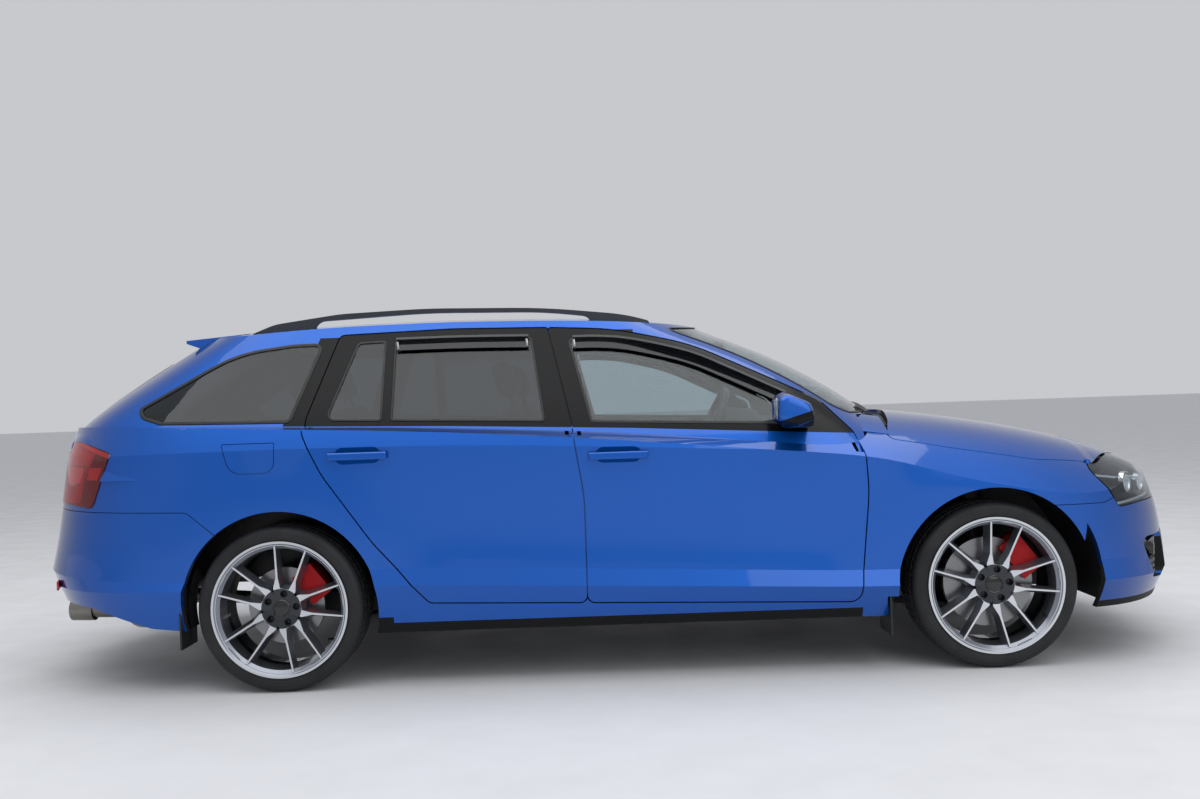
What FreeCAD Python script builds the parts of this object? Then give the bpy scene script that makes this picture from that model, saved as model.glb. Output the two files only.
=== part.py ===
import FreeCAD, Part
import math
import os

os.makedirs("parts", exist_ok=True)
Vector = FreeCAD.Vector

# A station wagon. X points forward, Y to the left and Z up, in millimetres.
# The origin is on the ground, at the middle of the length and of the width.

# Overall sizes
length = 4689.0
body_width = 1814.0
height = 1450.0
wheelbase = 2680.0
front_overhang = 905.0
front_track = 1535.0
rear_track = 1544.0

# Tyres
tyre_radius = 312.0
tyre_width = 225.0
tyre_bead_share = 0.93
tyre_shoulder_drop = 14.0
tyre_shoulder_in = 4.0
tyre_tread_in = 22.0
tyre_bulge_height = 30.0

# Alloy wheels
rim_radius = 256.0
rim_width = 214.0
rim_seat_drop = 16.0
rim_lip = 9.0
rim_lip_height = 9.0
barrel_wall = 12.0
rim_well = 20.0
hub_radius = 70.0
hub_plane = 10.0
hub_sink = 5.0
spoke_count = 5
spoke_turn = 78.7
spoke_rim_y = 113.0
spoke_hub_y = 90.0
spoke_dish_share = 0.125
spoke_depth = 44.0
spoke_trim = 2.0
window_lead = 4.0
bolt_circle_radius = 56.0
bolt_pocket_radius = 13.5
bolt_pocket_depth = 16.0

# Brakes
disc_radius = 170.0
rear_disc_radius = 145.0
disc_thickness = 26.0
caliper_reach = 42.0
caliper_face = 24.0
caliper_below = 60.0
caliper_above = 30.0
caliper_half_share = 0.45
caliper_turn = 52.0
pad_gap = 4.0
disc_edge_gap = 8.0

# Shell
shut_gap = 5.0
skin_depth = 18.0
wall_depth = 104.0
inner_inset = 30.0
flange_inset = 15.0
flange_gap = 6.0
pillar_depth = 58.0
frame_skin = 12.0
frame_depth = 34.0
roof_depth = 36.0
sheet = 26.0
glass_thickness = 5.0
glass_drop = 3.0
flap_depth = 12.0
bonnet_depth = 24.0
bumper_depth = 34.0
lamp_depth = 50.0
headlamp_depth = 110.0
lamp_set_in = 1.0
inner_lamp_depth = 22.0
tailgate_depth = 46.0
tailgate_skin = 14.0
tailgate_inner_inset = 34.0
overrun = 400.0
side_overrun = 100.0
tiny = 0.3
shortest_edge = 0.001

# Wheel housings
arch_radius = 368.0
front_room_radius = 410.0
wheelhouse_inner_y = 460.0
rear_wheelhouse_inner_y = 625.0

# Floor
belly_height = 205.0
floor_height = 238.0
floor_thickness = 26.0
load_floor_height = 560.0
load_well_depth = 190.0
tunnel_width = 240.0
tunnel_height = 120.0
rail_width = 90.0
load_mat_thickness = 4.0
load_mat_gap = 12.0

# Where the pieces of the floor start and end, as shares of the half length
bulkhead_x_share = 0.43
tunnel_front_share = 0.40
seat_step_share = -0.30
seat_step_rear_share = -0.32
heel_share = -0.50
load_floor_rear_share = -0.94
load_mat_shares = (-0.875, -0.575)
well_shares = (-0.90, -0.64)
rear_rail_end_share = -0.92
well_side_share = 0.40
rear_rail_y_share = 0.60
end_wall_low_share = 0.26
tailgate_sill_share = 0.47

# Front structure
rail_inner_y = 350.0
bonnet_clear = 8.0
cowl_drop = 22.0
structure_front_share = 0.84
front_panel_share = 0.835
front_panel_width = 45.0
front_panel_top_share = 0.50
radiator_shares = (0.36, 0.25, 0.46)
bulkhead_top_share = 0.60
cowl_shares = ((0.41, -0.80, 0.0), (0.54, 0.0, 1.0))

# Hinges of the lids
tailgate_hinge_x_share = -0.610
tailgate_hinge_z = 1402.0
tailgate_arm_y = 430.0
tailgate_arm_radii = (34.0, 54.0)
tailgate_fan_shares = [(0, 0), (0.56, -1), (0.56, -2), (-2, -2)]
arm_width = 30.0
bonnet_hinge_x = 1072.0
bonnet_hinge_z = 1000.0
bonnet_arm_y = 400.0
bonnet_arm_radii = (120.0, 142.0)
bonnet_fan_shares = [(0, 0), (1.2, -0.3), (1.2, -1.5), (-0.4, -1.5)]
bracket_wall = 12.0

# Steered front uprights, measured from the lower ball joint and from the wheel's centre
kingpin_low_y = 640.0
kingpin_low_z = 190.0
kingpin_high_y = 565.0
kingpin_high_z = 706.0
strut_radius = 26.0
strut_foot = 130.0
spring_radius = 52.0
spring_foot = 330.0
front_hub_radius = 48.0
front_hub_reach = 35.0
upright_low = (-45.0, -22.0, -114.0)
upright_high = (45.0, 30.0, 120.0)
caliper_arm_low = (0.0, 12.0, 30.0)
caliper_arm_high = (127.5, 30.0, 110.0)

# Rear axle, measured from the wheel's centre and from the wheel housing's inner wall
beam_radius = 45.0
beam_ahead = 160.0
beam_drop = 20.0
beam_end = 45.0
trailing_arm_low = (-70.0, -8.0, -55.0)
trailing_arm_high = (330.0, 50.0, 20.0)
rear_hub_radius = 45.0
damper_radius = 36.0
damper_behind = 40.0
damper_foot_in = 68.0
damper_top_in = 88.0
damper_clear = 8.0
bush_low = (240.0, 35.0, -20.0)
bush_high = (310.0, 100.0, 0.0)
rear_caliper_arm_high = (116.0, 30.0, 95.0)
rear_caliper_arm_low = (0.0, 12.0, 10.0)

# Front subframe, measured from the wheel's centre
cross_member_low = (-190.0, -147.0)
cross_member_high = (40.0, -87.0)
cross_member_y = 380.0
lower_arm_corner = 20.0
lower_arm_half = 40.0
lower_arm_end_in = 30.0
lower_arm_root_y = 370.0
lower_arm_ahead = 60.0
lower_arm_behind = 260.0
lower_arm_below = 22.0
lower_arm_above = 4.0
leg_behind = (230.0, 150.0)
leg_y = (430.0, 350.0)
rack_radius = 24.0
rack_behind = 120.0
rack_drop = 62.0
rack_half = 440.0

# Exhaust
silencer_radius = 80.0
silencer_length = 760.0
silencer_x = 1950.0
silencer_height = 250.0
pipe_radius = 28.0
front_silencer_radius = 60.0
tail_pipe_radius = 42.0
tail_pipe_y = 340.0
tail_pipe_length = 300.0
tail_pipe_rise = 7.0
hanger_radius = 9.0
hanger_y = 200.0
hanger_foot = 50.0
pipe_shares = [(-0.8317, 0.1724), (-0.597, 0.138), (-0.384, 0.1283), (0.341, 0.138)]
front_silencer_shares = [(-0.085, 0.1324), (0.128, 0.1352)]
engine_shares = ((0.54, -0.32, 0.19), (0.76, 0.32, 0.53))
engine_mount_shares = ((0.63, 0.21), (0.66, 0.24))

# Cabin
seat_width = 500.0
seat_depth = 500.0
cushion_thickness = 150.0
back_height = 600.0
back_thickness = 120.0
back_lean = 16.0
headrest_width = 270.0
headrest_height = 170.0
headrest_thickness = 90.0
headrest_gap = 12.0
stay_radius = 7.0
stay_y = 60.0
stay_sunk = 40.0
stay_out = 60.0
front_seat_y = 365.0
front_seat_x = 90.0
front_seat_base = 500.0
rear_seat_x = 760.0
rear_seat_base = 520.0
rear_seat_width = 1170.0
rear_headrest_y = 380.0
seat_foot_inset = 40.0
seat_foot_width = 380.0
seat_foot_sunk = 5.0
soft_edge = 35.0
dashboard_share = 0.70
console_clear = 5.0
dashboard_shares = [
    (0.20, 0.560, 0.05), (0.215, 0.625, 0.04), (0.30, 0.655, 0.10), (0.425, 0.650, 0.01), (0.425, 0.40, 0.02),
    (0.36, 0.38, 0.02), (0.30, 0.44, 0.05), (0.235, 0.50, 0.04)]
console_shares = [
    (-0.12, 0.19, 0), (-0.13, 0.36, 0.02), (0.02, 0.37, 0.02), (0.12, 0.345, 0.02), (0.24, 0.42, 0.02),
    (0.34, 0.52, 0.01), (0.40, 0.45, 0), (0.40, 0.19, 0)]
steering_wheel_radius = 182.0
steering_grip_radius = 15.0
steering_centre = (430.0, -365.0, 905.0)
steering_tilt = 24.0
steering_boss_radius = 58.0
steering_boss_depth = 50.0
steering_boss_out = 10.0
steering_spoke_count = 3
steering_spoke_low = (10.0, -22.0, -22.0)
steering_spoke_size = (164.0, 44.0, 16.0)
column_radius = 32.0
column_length = 220.0

# Door handles: a bar over a scooped recess, at (share of half length, share of height)
handle_y = 901.0
handle_length = 222.0
handle_height = 28.0
handle_thickness = 15.0
handle_stand_out = 8.0
handle_edge = 6.0
handle_foot = 24.0
handle_foot_sunk = 12.0
recess_radius = 60.0
recess_depth = 13.0
recess_length = 110.0
front_handle_shares = (0.018, 0.584)
rear_handle_shares = (-0.3955, 0.6045)

# Mirrors
mirror_inner_y = 872.0
mirror_outer_y = 1010.0
mirror_edge = 14.0
mirror_taper_share = 0.84
mirror_recess = 16.0
mirror_recess_margin = 15.0
mirror_shell_shares = [
    (0.2640, 0.7186), (0.2815, 0.7352), (0.3241, 0.7034), (0.3310, 0.6552), (0.2994, 0.6393),
    (0.2615, 0.6566)]
mirror_foot_shares = ((0.278, 0.6384), (0.330, 0.667))
mirror_foot_out = 50.0
mirror_foot_in = 90.0
mirror_foot_edge = 6.0

# Roof rails, wipers, mud flaps and spoiler
rail_y = 560.0
roof_rail_width = 34.0
wiper_height = 14.0
right_wiper_shares = [(-0.60, 0.672, 0), (-0.60, 0.684, 0), (0.0, 0.704, 0), (0.0, 0.692, 0)]
left_wiper_shares = [(-0.66, 0.690, 0), (-0.66, 0.702, 0), (-0.06, 0.684, 0), (-0.06, 0.672, 0)]
flap_thickness = 7.0
flap_inner = 200.0
front_flap_behind = 399.0
front_flap_outer = 30.0
front_flap_heights = (135.0, 300.0)
rear_flap_behind = 379.0
rear_flap_outer = 34.0
rear_flap_heights = (170.0, 400.0)
spoiler_front_x = 1470.0
spoiler_tip_x = 1718.0
spoiler_sweep = 34.0
spoiler_lift = 1.5
spoiler_lip = 12.0
spoiler_depth = 44.0
spoiler_root_x = 1600.0
spoiler_half_width = 520.0
spoiler_sunk = 2.0
spoiler_sections = 4

half_length = length / 2
half_width = body_width / 2
front_axle_x = half_length - front_overhang
rear_axle_x = front_axle_x - wheelbase
axle_height = tyre_radius
right_y = -(half_width + overrun)

# Ends of the plan: where the rounding starts, and how full it is
front_corner_share = 0.72
rear_corner_share = 0.70
front_fullness = 2.2
rear_fullness = 2.5

# Lower body. Along the side: (share of the half length, share of the height)
belly_line_shares = [(-1.0, 0.200), (-0.86, 0.195), (-0.72, 0.148), (1.0, 0.138)]
low_crease_shares = [(-1.0, 0.272), (-0.32, 0.270), (0.40, 0.226), (1.0, 0.215)]
high_crease_shares = [(-1.0, 0.314), (-0.70, 0.292), (-0.32, 0.314), (0.40, 0.266), (1.0, 0.272)]
shoulder_shares = [(-1.0, 0.617), (-0.81, 0.624), (-0.51, 0.629), (-0.28, 0.625), (-0.11, 0.616),
                   (0.29, 0.583), (0.53, 0.560), (0.70, 0.515), (0.85, 0.480), (1.0, 0.470)]
wall_top_share = 0.80
belt_mix_share = 0.40

# Where the nose and the tail reach at each height: (share of the height, share of the half length)
nose_shares = [(0.138, 0.984), (0.165, 1.009), (0.215, 1.003), (0.290, 1.001), (0.353, 0.995),
               (0.423, 0.981), (0.500, 0.953), (0.537, 0.910), (0.60, 0.86), (0.80, 0.80)]
tail_shares = [(0.195, 0.955), (0.218, 0.973), (0.276, 0.987), (0.314, 1.0), (0.370, 0.991),
               (0.483, 0.976), (0.593, 0.962), (0.662, 0.948), (0.80, 0.930)]

# How far each line of the side lies in from the widest line, as shares of the half width
belly_in_share = 0.075
low_crease_in_share = 0.004
high_crease_in_share = 0.022
door_in_shares = [0.030, 0.028, 0.022, 0.016]
shoulder_in_share = 0.010
belt_in_share = 0.052
wall_top_in_share = 0.135
arch_swell_share = 0.020
arch_swell_reach = 260.0

# Bonnet and belt: (share of the half length, share of the height)
top_centre_shares = [(-1.0, 0.700), (0.30, 0.690), (0.45, 0.680), (0.513, 0.672), (0.637, 0.642),
                     (0.740, 0.611), (0.822, 0.577), (0.863, 0.554), (0.902, 0.528), (1.0, 0.440)]
top_edge_shares = [(-1.0, 0.705), (-0.76, 0.697), (-0.50, 0.684), (-0.33, 0.677), (-0.056, 0.659),
                   (0.275, 0.632), (0.392, 0.620), (0.457, 0.609), (0.533, 0.583), (0.581, 0.567),
                   (0.653, 0.549), (0.718, 0.529), (0.769, 0.508), (0.832, 0.480), (1.0, 0.40)]
top_edge_y_share = 0.88
top_roll = 4.5

# Upper body: (share of the height, share of the half length)
screen_shares = [(0.56, 0.575), (0.62, 0.525), (0.66, 0.484), (0.76, 0.402), (0.86, 0.287), (0.928, 0.170),
                 (1.04, 0.03)]
backlight_shares = [(0.56, 0.925), (0.62, 0.935), (0.663, 0.944), (0.728, 0.903), (0.804, 0.835),
                    (0.855, 0.787), (0.924, 0.722), (1.04, 0.60)]
upper_levels_shares = [0.56, 0.62, 0.66, 0.73, 0.80, 0.87, 0.93, 1.04]
glass_base_height_share = 0.655
glass_base_in_share = 0.094
tumblehome_share = 0.45
screen_corner = 500.0
screen_fullness = 2.6
backlight_corner = 430.0
backlight_fullness = 3.0
roof_line_shares = [(-1.0, 0.893), (-0.768, 0.943), (-0.636, 0.960), (-0.485, 0.978), (-0.258, 0.983),
                    (-0.029, 0.976), (0.087, 0.960), (0.141, 0.946), (0.256, 0.912), (0.554, 0.77),
                    (0.70, 0.70)]
roof_crown_share = 0.026
roof_crown_y_share = 0.66

# Panel outlines seen from the side: (share of half length, share of height, corner radius share)
front_door_shares = [
    (0.397, 0.184, 0.03), (0.415, 0.470, 0.50), (0.411, 0.570, 0.10), (0.402, 0.622, 0.04),
    (0.355, 0.709, 0.10), (0.146, 0.872, 0.60), (0.02, 0.919, 0.80), (-0.0925, 0.929, 0.008),
    (-0.056, 0.675, 0.30), (-0.038, 0.480, 0.50), (-0.038, 0.206, 0.02)]
rear_door_shares = [
    (-0.038, 0.206, 0.02), (-0.038, 0.480, 0.50), (-0.056, 0.675, 0.30), (-0.0925, 0.929, 0.008),
    (-0.250, 0.934, 1.0), (-0.440, 0.926, 0.02), (-0.4915, 0.684, 0.08), (-0.455, 0.560, 0.30),
    (-0.376, 0.377, 0.40), (-0.290, 0.219, 0.02)]
front_window_shares = [
    (-0.024, 0.668, 0.01), (-0.060, 0.899, 0.015), (0.030, 0.894, 0.60), (0.145, 0.847, 0.60),
    (0.322, 0.708, 0.04), (0.334, 0.645, 0.01)]
rear_window_shares = [
    (-0.097, 0.674, 0.01), (-0.118, 0.904, 0.015), (-0.348, 0.907, 0.01), (-0.350, 0.689, 0.01)]
rear_light_shares = [
    (-0.363, 0.689, 0.01), (-0.361, 0.907, 0.01), (-0.410, 0.905, 0.02), (-0.458, 0.695, 0.02)]
quarter_window_shares = [
    (-0.512, 0.692, 0.02), (-0.464, 0.906, 0.02), (-0.518, 0.905, 0.30), (-0.613, 0.886, 0.50),
    (-0.767, 0.742, 0.05), (-0.757, 0.716, 0.03), (-0.725, 0.699, 0.03)]
wing_shares = [
    (0.402, 0.10, 0), (0.402, 0.30, 0), (0.385, 0.50, 0), (0.385, 0.70, 0), (1.1, 0.70, 0), (1.1, 0.10, 0)]
front_bumper_shares = [
    (0.60, 0.02, 0), (0.60, 0.417, 0), (0.792, 0.417, 0.02), (0.835, 0.44, 0.02), (0.835, 0.60, 0),
    (1.1, 0.60, 0), (1.1, 0.02, 0)]
rear_bumper_shares = [
    (-0.55, 0.02, 0), (-0.55, 0.300, 0), (-0.627, 0.414, 0.05), (-0.671, 0.474, 0.03), (-1.1, 0.487, 0),
    (-1.1, 0.02, 0)]
headlamp_shares = [
    (0.785, 0.498, 0.02), (0.80, 0.60, 0), (1.0, 0.60, 0), (1.0, 0.410, 0), (0.878, 0.410, 0.02),
    (0.822, 0.402, 0.02)]
tail_lamp_shares = [
    (-0.794, 0.632, 0.01), (-0.862, 0.662, 0.05), (-1.0, 0.668, 0), (-1.0, 0.500, 0), (-0.885, 0.495, 0.02),
    (-0.834, 0.487, 0.02)]
fuel_flap_shares = [
    (-0.613, 0.646, 0.004), (-0.528, 0.646, 0.004), (-0.528, 0.567, 0.03), (-0.600, 0.567, 0.04)]
b_pillar_shares = [(-0.075, 0.20, 0), (-0.092, 0.675, 0.1), (-0.115, 0.95, 0), (-0.065, 0.95, 0),
                   (-0.022, 0.675, 0.1), (-0.002, 0.20, 0)]
under_tail_shares = [
    (-0.60, -0.1, 0), (-0.60, 0.150, 0), (-0.74, 0.172, 0.1), (-0.84, 0.226, 0.1), (-0.90, 0.232, 0),
    (-1.1, 0.215, 0), (-1.1, -0.1, 0)]
rail_top_shares = [
    (-0.610, 0.935, 0.01), (-0.560, 0.966, 0.15), (-0.447, 0.989, 0.5), (-0.30, 0.9965, 2.0),
    (-0.10, 0.988, 2.0), (0.040, 0.962, 0.6), (0.095, 0.935, 0.01), (0.030, 0.90, 0), (-0.560, 0.90, 0)]
rail_gap_shares = [
    (-0.500, 0.90, 0), (-0.490, 0.9705, 0.03), (-0.300, 0.9845, 2.0), (-0.10, 0.9765, 2.0),
    (-0.022, 0.9605, 0.03), (-0.010, 0.90, 0)]

# Bonnet outline seen from above: (share of half length, share of half width, radius share)
bonnet_shares = [
    (0.905, 0.0, 0.5), (0.895, -0.33, 0.2), (0.868, -0.56, 0.12), (0.800, -0.800, 0.10), (0.700, -0.862, 0.3),
    (0.457, -0.872, 0.03), (0.475, -0.70, 0.1), (0.508, -0.20, 0.5), (0.508, 0.20, 0.5), (0.475, 0.70, 0.1),
    (0.457, 0.872, 0.03), (0.700, 0.862, 0.3), (0.800, 0.800, 0.10), (0.868, 0.56, 0.12), (0.895, 0.33, 0.2)]
bonnet_low_share = 0.45

# Outlines seen from the end: (share of half width, share of height, radius share)
windscreen_shares = [
    (-0.775, 0.668, 0.02), (-0.625, 0.918, 0.03), (0.0, 0.936, 2.0), (0.625, 0.918, 0.03),
    (0.775, 0.668, 0.02)]
tailgate_shares = [
    (-0.62, 0.487, 0.02), (-0.70, 0.60, 0.10), (-0.69, 0.70, 0.20), (-0.585, 0.95, 0.05), (-0.585, 1.10, 0),
    (0.585, 1.10, 0), (0.585, 0.95, 0.05), (0.69, 0.70, 0.20), (0.70, 0.60, 0.10), (0.62, 0.487, 0.02)]
tailgate_window_shares = [
    (-0.56, 0.690, 0.03), (-0.515, 0.868, 0.03), (0.515, 0.868, 0.03), (0.56, 0.690, 0.03)]
upper_grille_shares = [
    (-0.36, 0.418, 0.015), (-0.40, 0.500, 0.02), (0.40, 0.500, 0.02), (0.36, 0.418, 0.015)]
lower_grille_shares = [
    (-0.52, 0.205, 0.02), (-0.46, 0.330, 0.02), (0.46, 0.330, 0.02), (0.52, 0.205, 0.02)]
side_intake_shares = [
    (-0.60, 0.190, 0.02), (-0.62, 0.315, 0.02), (-0.835, 0.315, 0.02), (-0.80, 0.205, 0.02)]
grille_bar_shares = [(-0.72, 0.335, 0.01), (-0.72, 0.405, 0.01), (0.72, 0.405, 0.01), (0.72, 0.335, 0.01)]
grille_set_back = 40.0
grille_depth = 14.0
grille_lap = 8.0
grille_bar_depth = 30.0
headlamp_inner_share = 0.45
lamp_inner_share = 0.60
inner_lamp_inner_share = 0.36
inner_lamp_height_shares = (0.535, 0.635)
half_roof_share = 0.600
roof_low_share = 0.86
engine_bay_shares = (0.42, 0.665)

# Spokes seen along the axle, from the hub outwards: (share of the rim radius outwards, share sideways)
spoke_half_shares = [(0.14, 0.110), (0.28, 0.165), (0.44, 0.150), (0.96, 0.252)]
spoke_back_half_shares = [(0.14, 0.150), (0.28, 0.212), (0.44, 0.198), (0.95, 0.306)]
window_half_shares = [(0.290, 0.066), (0.44, 0.122), (0.925, 0.224)]
window_back_half_shares = [(0.335, 0.040), (0.46, 0.092), (0.900, 0.190)]

# How finely the nets are drawn, and how near a corner's arc may come to its neighbours
corner_steps = 6
side_steps = 24
top_steps_x = 26
top_steps_y = 7
corner_share = 0.499


def between(table, at):
    """Height or reach of a line at one place, straight between its points."""
    points = sorted(table)
    if at <= points[0][0]:
        return points[0][1]
    for (low, value_low), (high, value_high) in zip(points, points[1:]):
        if at <= high:
            return value_low + (value_high - value_low) * (at - low) / (high - low)
    return points[-1][1]


def line_z(table, x):
    return between(table, x / half_length) * height


def reach_x(table, z):
    return between(table, z / height) * half_length


def knots_of(count, degree):
    return list(range(count - degree + 1))


def mults_of(count, degree):
    return [degree + 1] + [1] * (count - degree - 1) + [degree + 1]


def net_face(rows):
    """Smooth face that follows a net of points; its edges follow the outer rows."""
    across, along = len(rows), len(rows[0])
    degree_u, degree_v = min(3, across - 1), min(3, along - 1)
    surface = Part.BSplineSurface()
    surface.buildFromPolesMultsKnots(
        rows, mults_of(across, degree_u), mults_of(along, degree_v),
        knots_of(across, degree_u), knots_of(along, degree_v), False, False, degree_u, degree_v)
    return surface.toShape()


def row_edge(row):
    curve = Part.BSplineCurve()
    degree = min(3, len(row) - 1)
    curve.buildFromPolesMultsKnots(row, mults_of(len(row), degree), knots_of(len(row), degree), False, degree)
    return curve.toShape()


def flat_face(row):
    """Flat cap between a row of the right side and the middle plane."""
    return Part.Face(Part.Wire([row_edge(row), Part.LineSegment(row[-1], row[0]).toShape()]))


def middle_face(bands):
    """Flat face in the middle plane, between the ends of the rows."""
    front = [row_edge([row[0] for row in band]) for band in bands]
    rear = [row_edge([row[-1] for row in band]) for band in bands]
    low = Part.LineSegment(bands[0][0][0], bands[0][0][-1]).toShape()
    high = Part.LineSegment(bands[-1][-1][0], bands[-1][-1][-1]).toShape()
    return Part.Face(Part.Wire(Part.__sortEdges__(front + rear + [low, high])))


def closed_solid(faces):
    shell = Part.makeCompound(faces)
    shell.sewShape()
    solid = Part.Solid(Part.Shell(shell.Faces))
    if solid.Volume < 0:
        solid.reverse()
    return solid


def mirrored(shape):
    return shape.mirror(Vector(0, 0, 0), Vector(0, 1, 0))


def quarter_turns(count):
    return [math.pi / 2 * step / count for step in range(count + 1)]


def rounded(turn, fullness):
    """Point on the corner of a full rectangle of size one."""
    along_x = math.cos(turn) ** (2 / fullness) if turn < math.pi / 2 else 0.0
    return along_x, math.sin(turn) ** (2 / fullness)


def plan_row(front_x, rear_x, front_corner, rear_corner, fullness, in_y, z_of, swell=None, inset=0.0):
    """One line round the right side of the car, from the nose to the tail."""
    row = []
    side_y = half_width - in_y - inset
    reach_front = front_x - inset - front_corner
    reach_rear = rear_corner - (rear_x + inset)
    for turn in quarter_turns(corner_steps):
        along_x, along_y = rounded(turn, fullness[0])
        row.append((front_corner + reach_front * along_x, side_y * along_y))
    for step in range(1, side_steps):
        row.append((front_corner + (rear_corner - front_corner) * step / side_steps, side_y))
    for turn in reversed(quarter_turns(corner_steps)):
        along_x, along_y = rounded(turn, fullness[1])
        row.append((rear_corner - reach_rear * along_x, side_y * along_y))
    row[1] = (row[0][0], row[1][1])
    row[-2] = (row[-1][0], row[-2][1])
    points = []
    for x, y in row:
        z = z_of(x)
        out = swell(x, z) if swell else 0.0
        points.append(Vector(x, -(y + out * min(1.0, y / side_y)), z))
    return points


def arch_swell(x, z):
    """How far the side stands out round the wheel arches."""
    swell = 0.0
    for axle_x in (front_axle_x, rear_axle_x):
        away = math.hypot(x - axle_x, z - axle_height) - arch_radius
        share = max(0.0, 1.0 - max(0.0, away) / arch_swell_reach)
        swell = max(swell, share * share * (3 - 2 * share))
    return swell * arch_swell_share * half_width


def lower_row(in_share, z_of, inset, swell=None):
    nose = reach_x(nose_shares, z_of(half_length))
    tail = -reach_x(tail_shares, z_of(-half_length))
    return plan_row(nose, tail, front_corner_share * half_length, -rear_corner_share * half_length,
                    (front_fullness, rear_fullness), in_share * half_width, z_of, swell, inset)


def along(table):
    return lambda x: line_z(table, x)


def mix(low, high, share):
    return lambda x: line_z(low, x) * (1 - share) + line_z(high, x) * share


def lower_wall(inset=0.0):
    """The body's side wall all round, up past the windows, closed flat at both ends."""
    belly = lower_row(belly_in_share, lambda x: belly_height, inset)
    low_crease = lower_row(low_crease_in_share, along(low_crease_shares), inset)
    high_crease = lower_row(high_crease_in_share, along(high_crease_shares), inset)
    door_steps = len(door_in_shares) + 1
    doors = []
    for place, share in enumerate(door_in_shares):
        line = mix(high_crease_shares, shoulder_shares, (place + 1) / door_steps)
        doors.append(lower_row(share, line, inset, arch_swell))
    shoulder = lower_row(shoulder_in_share, along(shoulder_shares), inset)
    wall_top_shares = [(-1.0, wall_top_share), (1.0, wall_top_share)]
    belt = lower_row(belt_in_share, mix(shoulder_shares, wall_top_shares, belt_mix_share), inset)
    wall_top = lower_row(wall_top_in_share, along(wall_top_shares), inset)
    bands = [[belly, low_crease], [low_crease, high_crease], [high_crease] + doors + [shoulder],
             [shoulder, belt, wall_top]]
    faces = [flat_face(belly), flat_face(wall_top), middle_face(bands)]
    return closed_solid(faces + [net_face(band) for band in bands])


def upper_wall(inset=0.0):
    """The cabin's wall all round, from inside the lower body to above the roof."""
    rows = []
    for level_share in upper_levels_shares:
        z = level_share * height
        in_y = glass_base_in_share * half_width + tumblehome_share * (z - glass_base_height_share * height)
        nose = reach_x(screen_shares, z)
        tail = -reach_x(backlight_shares, z)
        rows.append(plan_row(nose, tail, nose - screen_corner, tail + backlight_corner,
                             (screen_fullness, backlight_fullness), in_y, lambda x, z=z: z, None, inset))
    return closed_solid([flat_face(rows[0]), flat_face(rows[-1]), middle_face([rows]), net_face(rows)])


def below_surface(height_of, low_z):
    """Solid under a surface whose height is given at each place of the plan."""
    rows = []
    for step_x in range(top_steps_x + 1):
        x = -half_length - overrun + (length + 2 * overrun) * step_x / top_steps_x
        row = []
        for step_y in range(top_steps_y + 1):
            y = -(half_width + side_overrun) * (1 - step_y / top_steps_y)
            row.append(Vector(x, y, height_of(x, y)))
        rows.append(row)
    faces = [net_face(rows)]
    corners = [(rows[0][0], rows[0][-1]), (rows[0][-1], rows[-1][-1]), (rows[-1][-1], rows[-1][0]),
               (rows[-1][0], rows[0][0])]
    edges = [row_edge(rows[0]), row_edge([row[-1] for row in rows]), row_edge(rows[-1]),
             row_edge([row[0] for row in rows])]
    base = []
    for (start, end), edge in zip(corners, edges):
        low_start = Vector(start.x, start.y, low_z)
        low_end = Vector(end.x, end.y, low_z)
        side = [edge, Part.LineSegment(start, low_start).toShape(),
                Part.LineSegment(low_start, low_end).toShape(), Part.LineSegment(low_end, end).toShape()]
        faces.append(Part.Face(Part.Wire(Part.__sortEdges__(side))))
        base.append(low_start)
    faces.append(Part.Face(Part.makePolygon(base + [base[0]])))
    return closed_solid(faces)


def top_height(x, y, drop=0.0):
    """Height of the bonnet and of the belt line."""
    centre = line_z(top_centre_shares, x)
    edge = line_z(top_edge_shares, x)
    return centre - (centre - edge) * (abs(y) / (top_edge_y_share * half_width)) ** top_roll - drop


def roof_height(x, y, drop=0.0):
    crown = roof_crown_share * height * (y / (roof_crown_y_share * half_width)) ** 2
    return line_z(roof_line_shares, x) - crown - drop


def placed_corners(points, inset):
    """Corners of an outline after its sides have moved in, each with the way it turns."""
    pairs = list(zip(points, points[1:] + points[:1]))
    area = sum(one[0] * two[1] - two[0] * one[1] for one, two in pairs)
    sign = 1.0 if area > 0 else -1.0
    lines = []
    for one, two in pairs:
        run = math.hypot(two[0] - one[0], two[1] - one[1])
        way = ((two[0] - one[0]) / run, (two[1] - one[1]) / run)
        lines.append(((one[0] - way[1] * sign * inset, one[1] + way[0] * sign * inset), way))
    corners = []
    for place_in in range(len(points)):
        (start_a, way_a), (start_b, way_b) = lines[place_in - 1], lines[place_in]
        cross = way_a[0] * way_b[1] - way_a[1] * way_b[0]
        reach = ((start_b[0] - start_a[0]) * way_b[1] - (start_b[1] - start_a[1]) * way_b[0]) / cross
        corners.append((start_a[0] + way_a[0] * reach, start_a[1] + way_a[1] * reach, cross * sign))
    return corners


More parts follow.
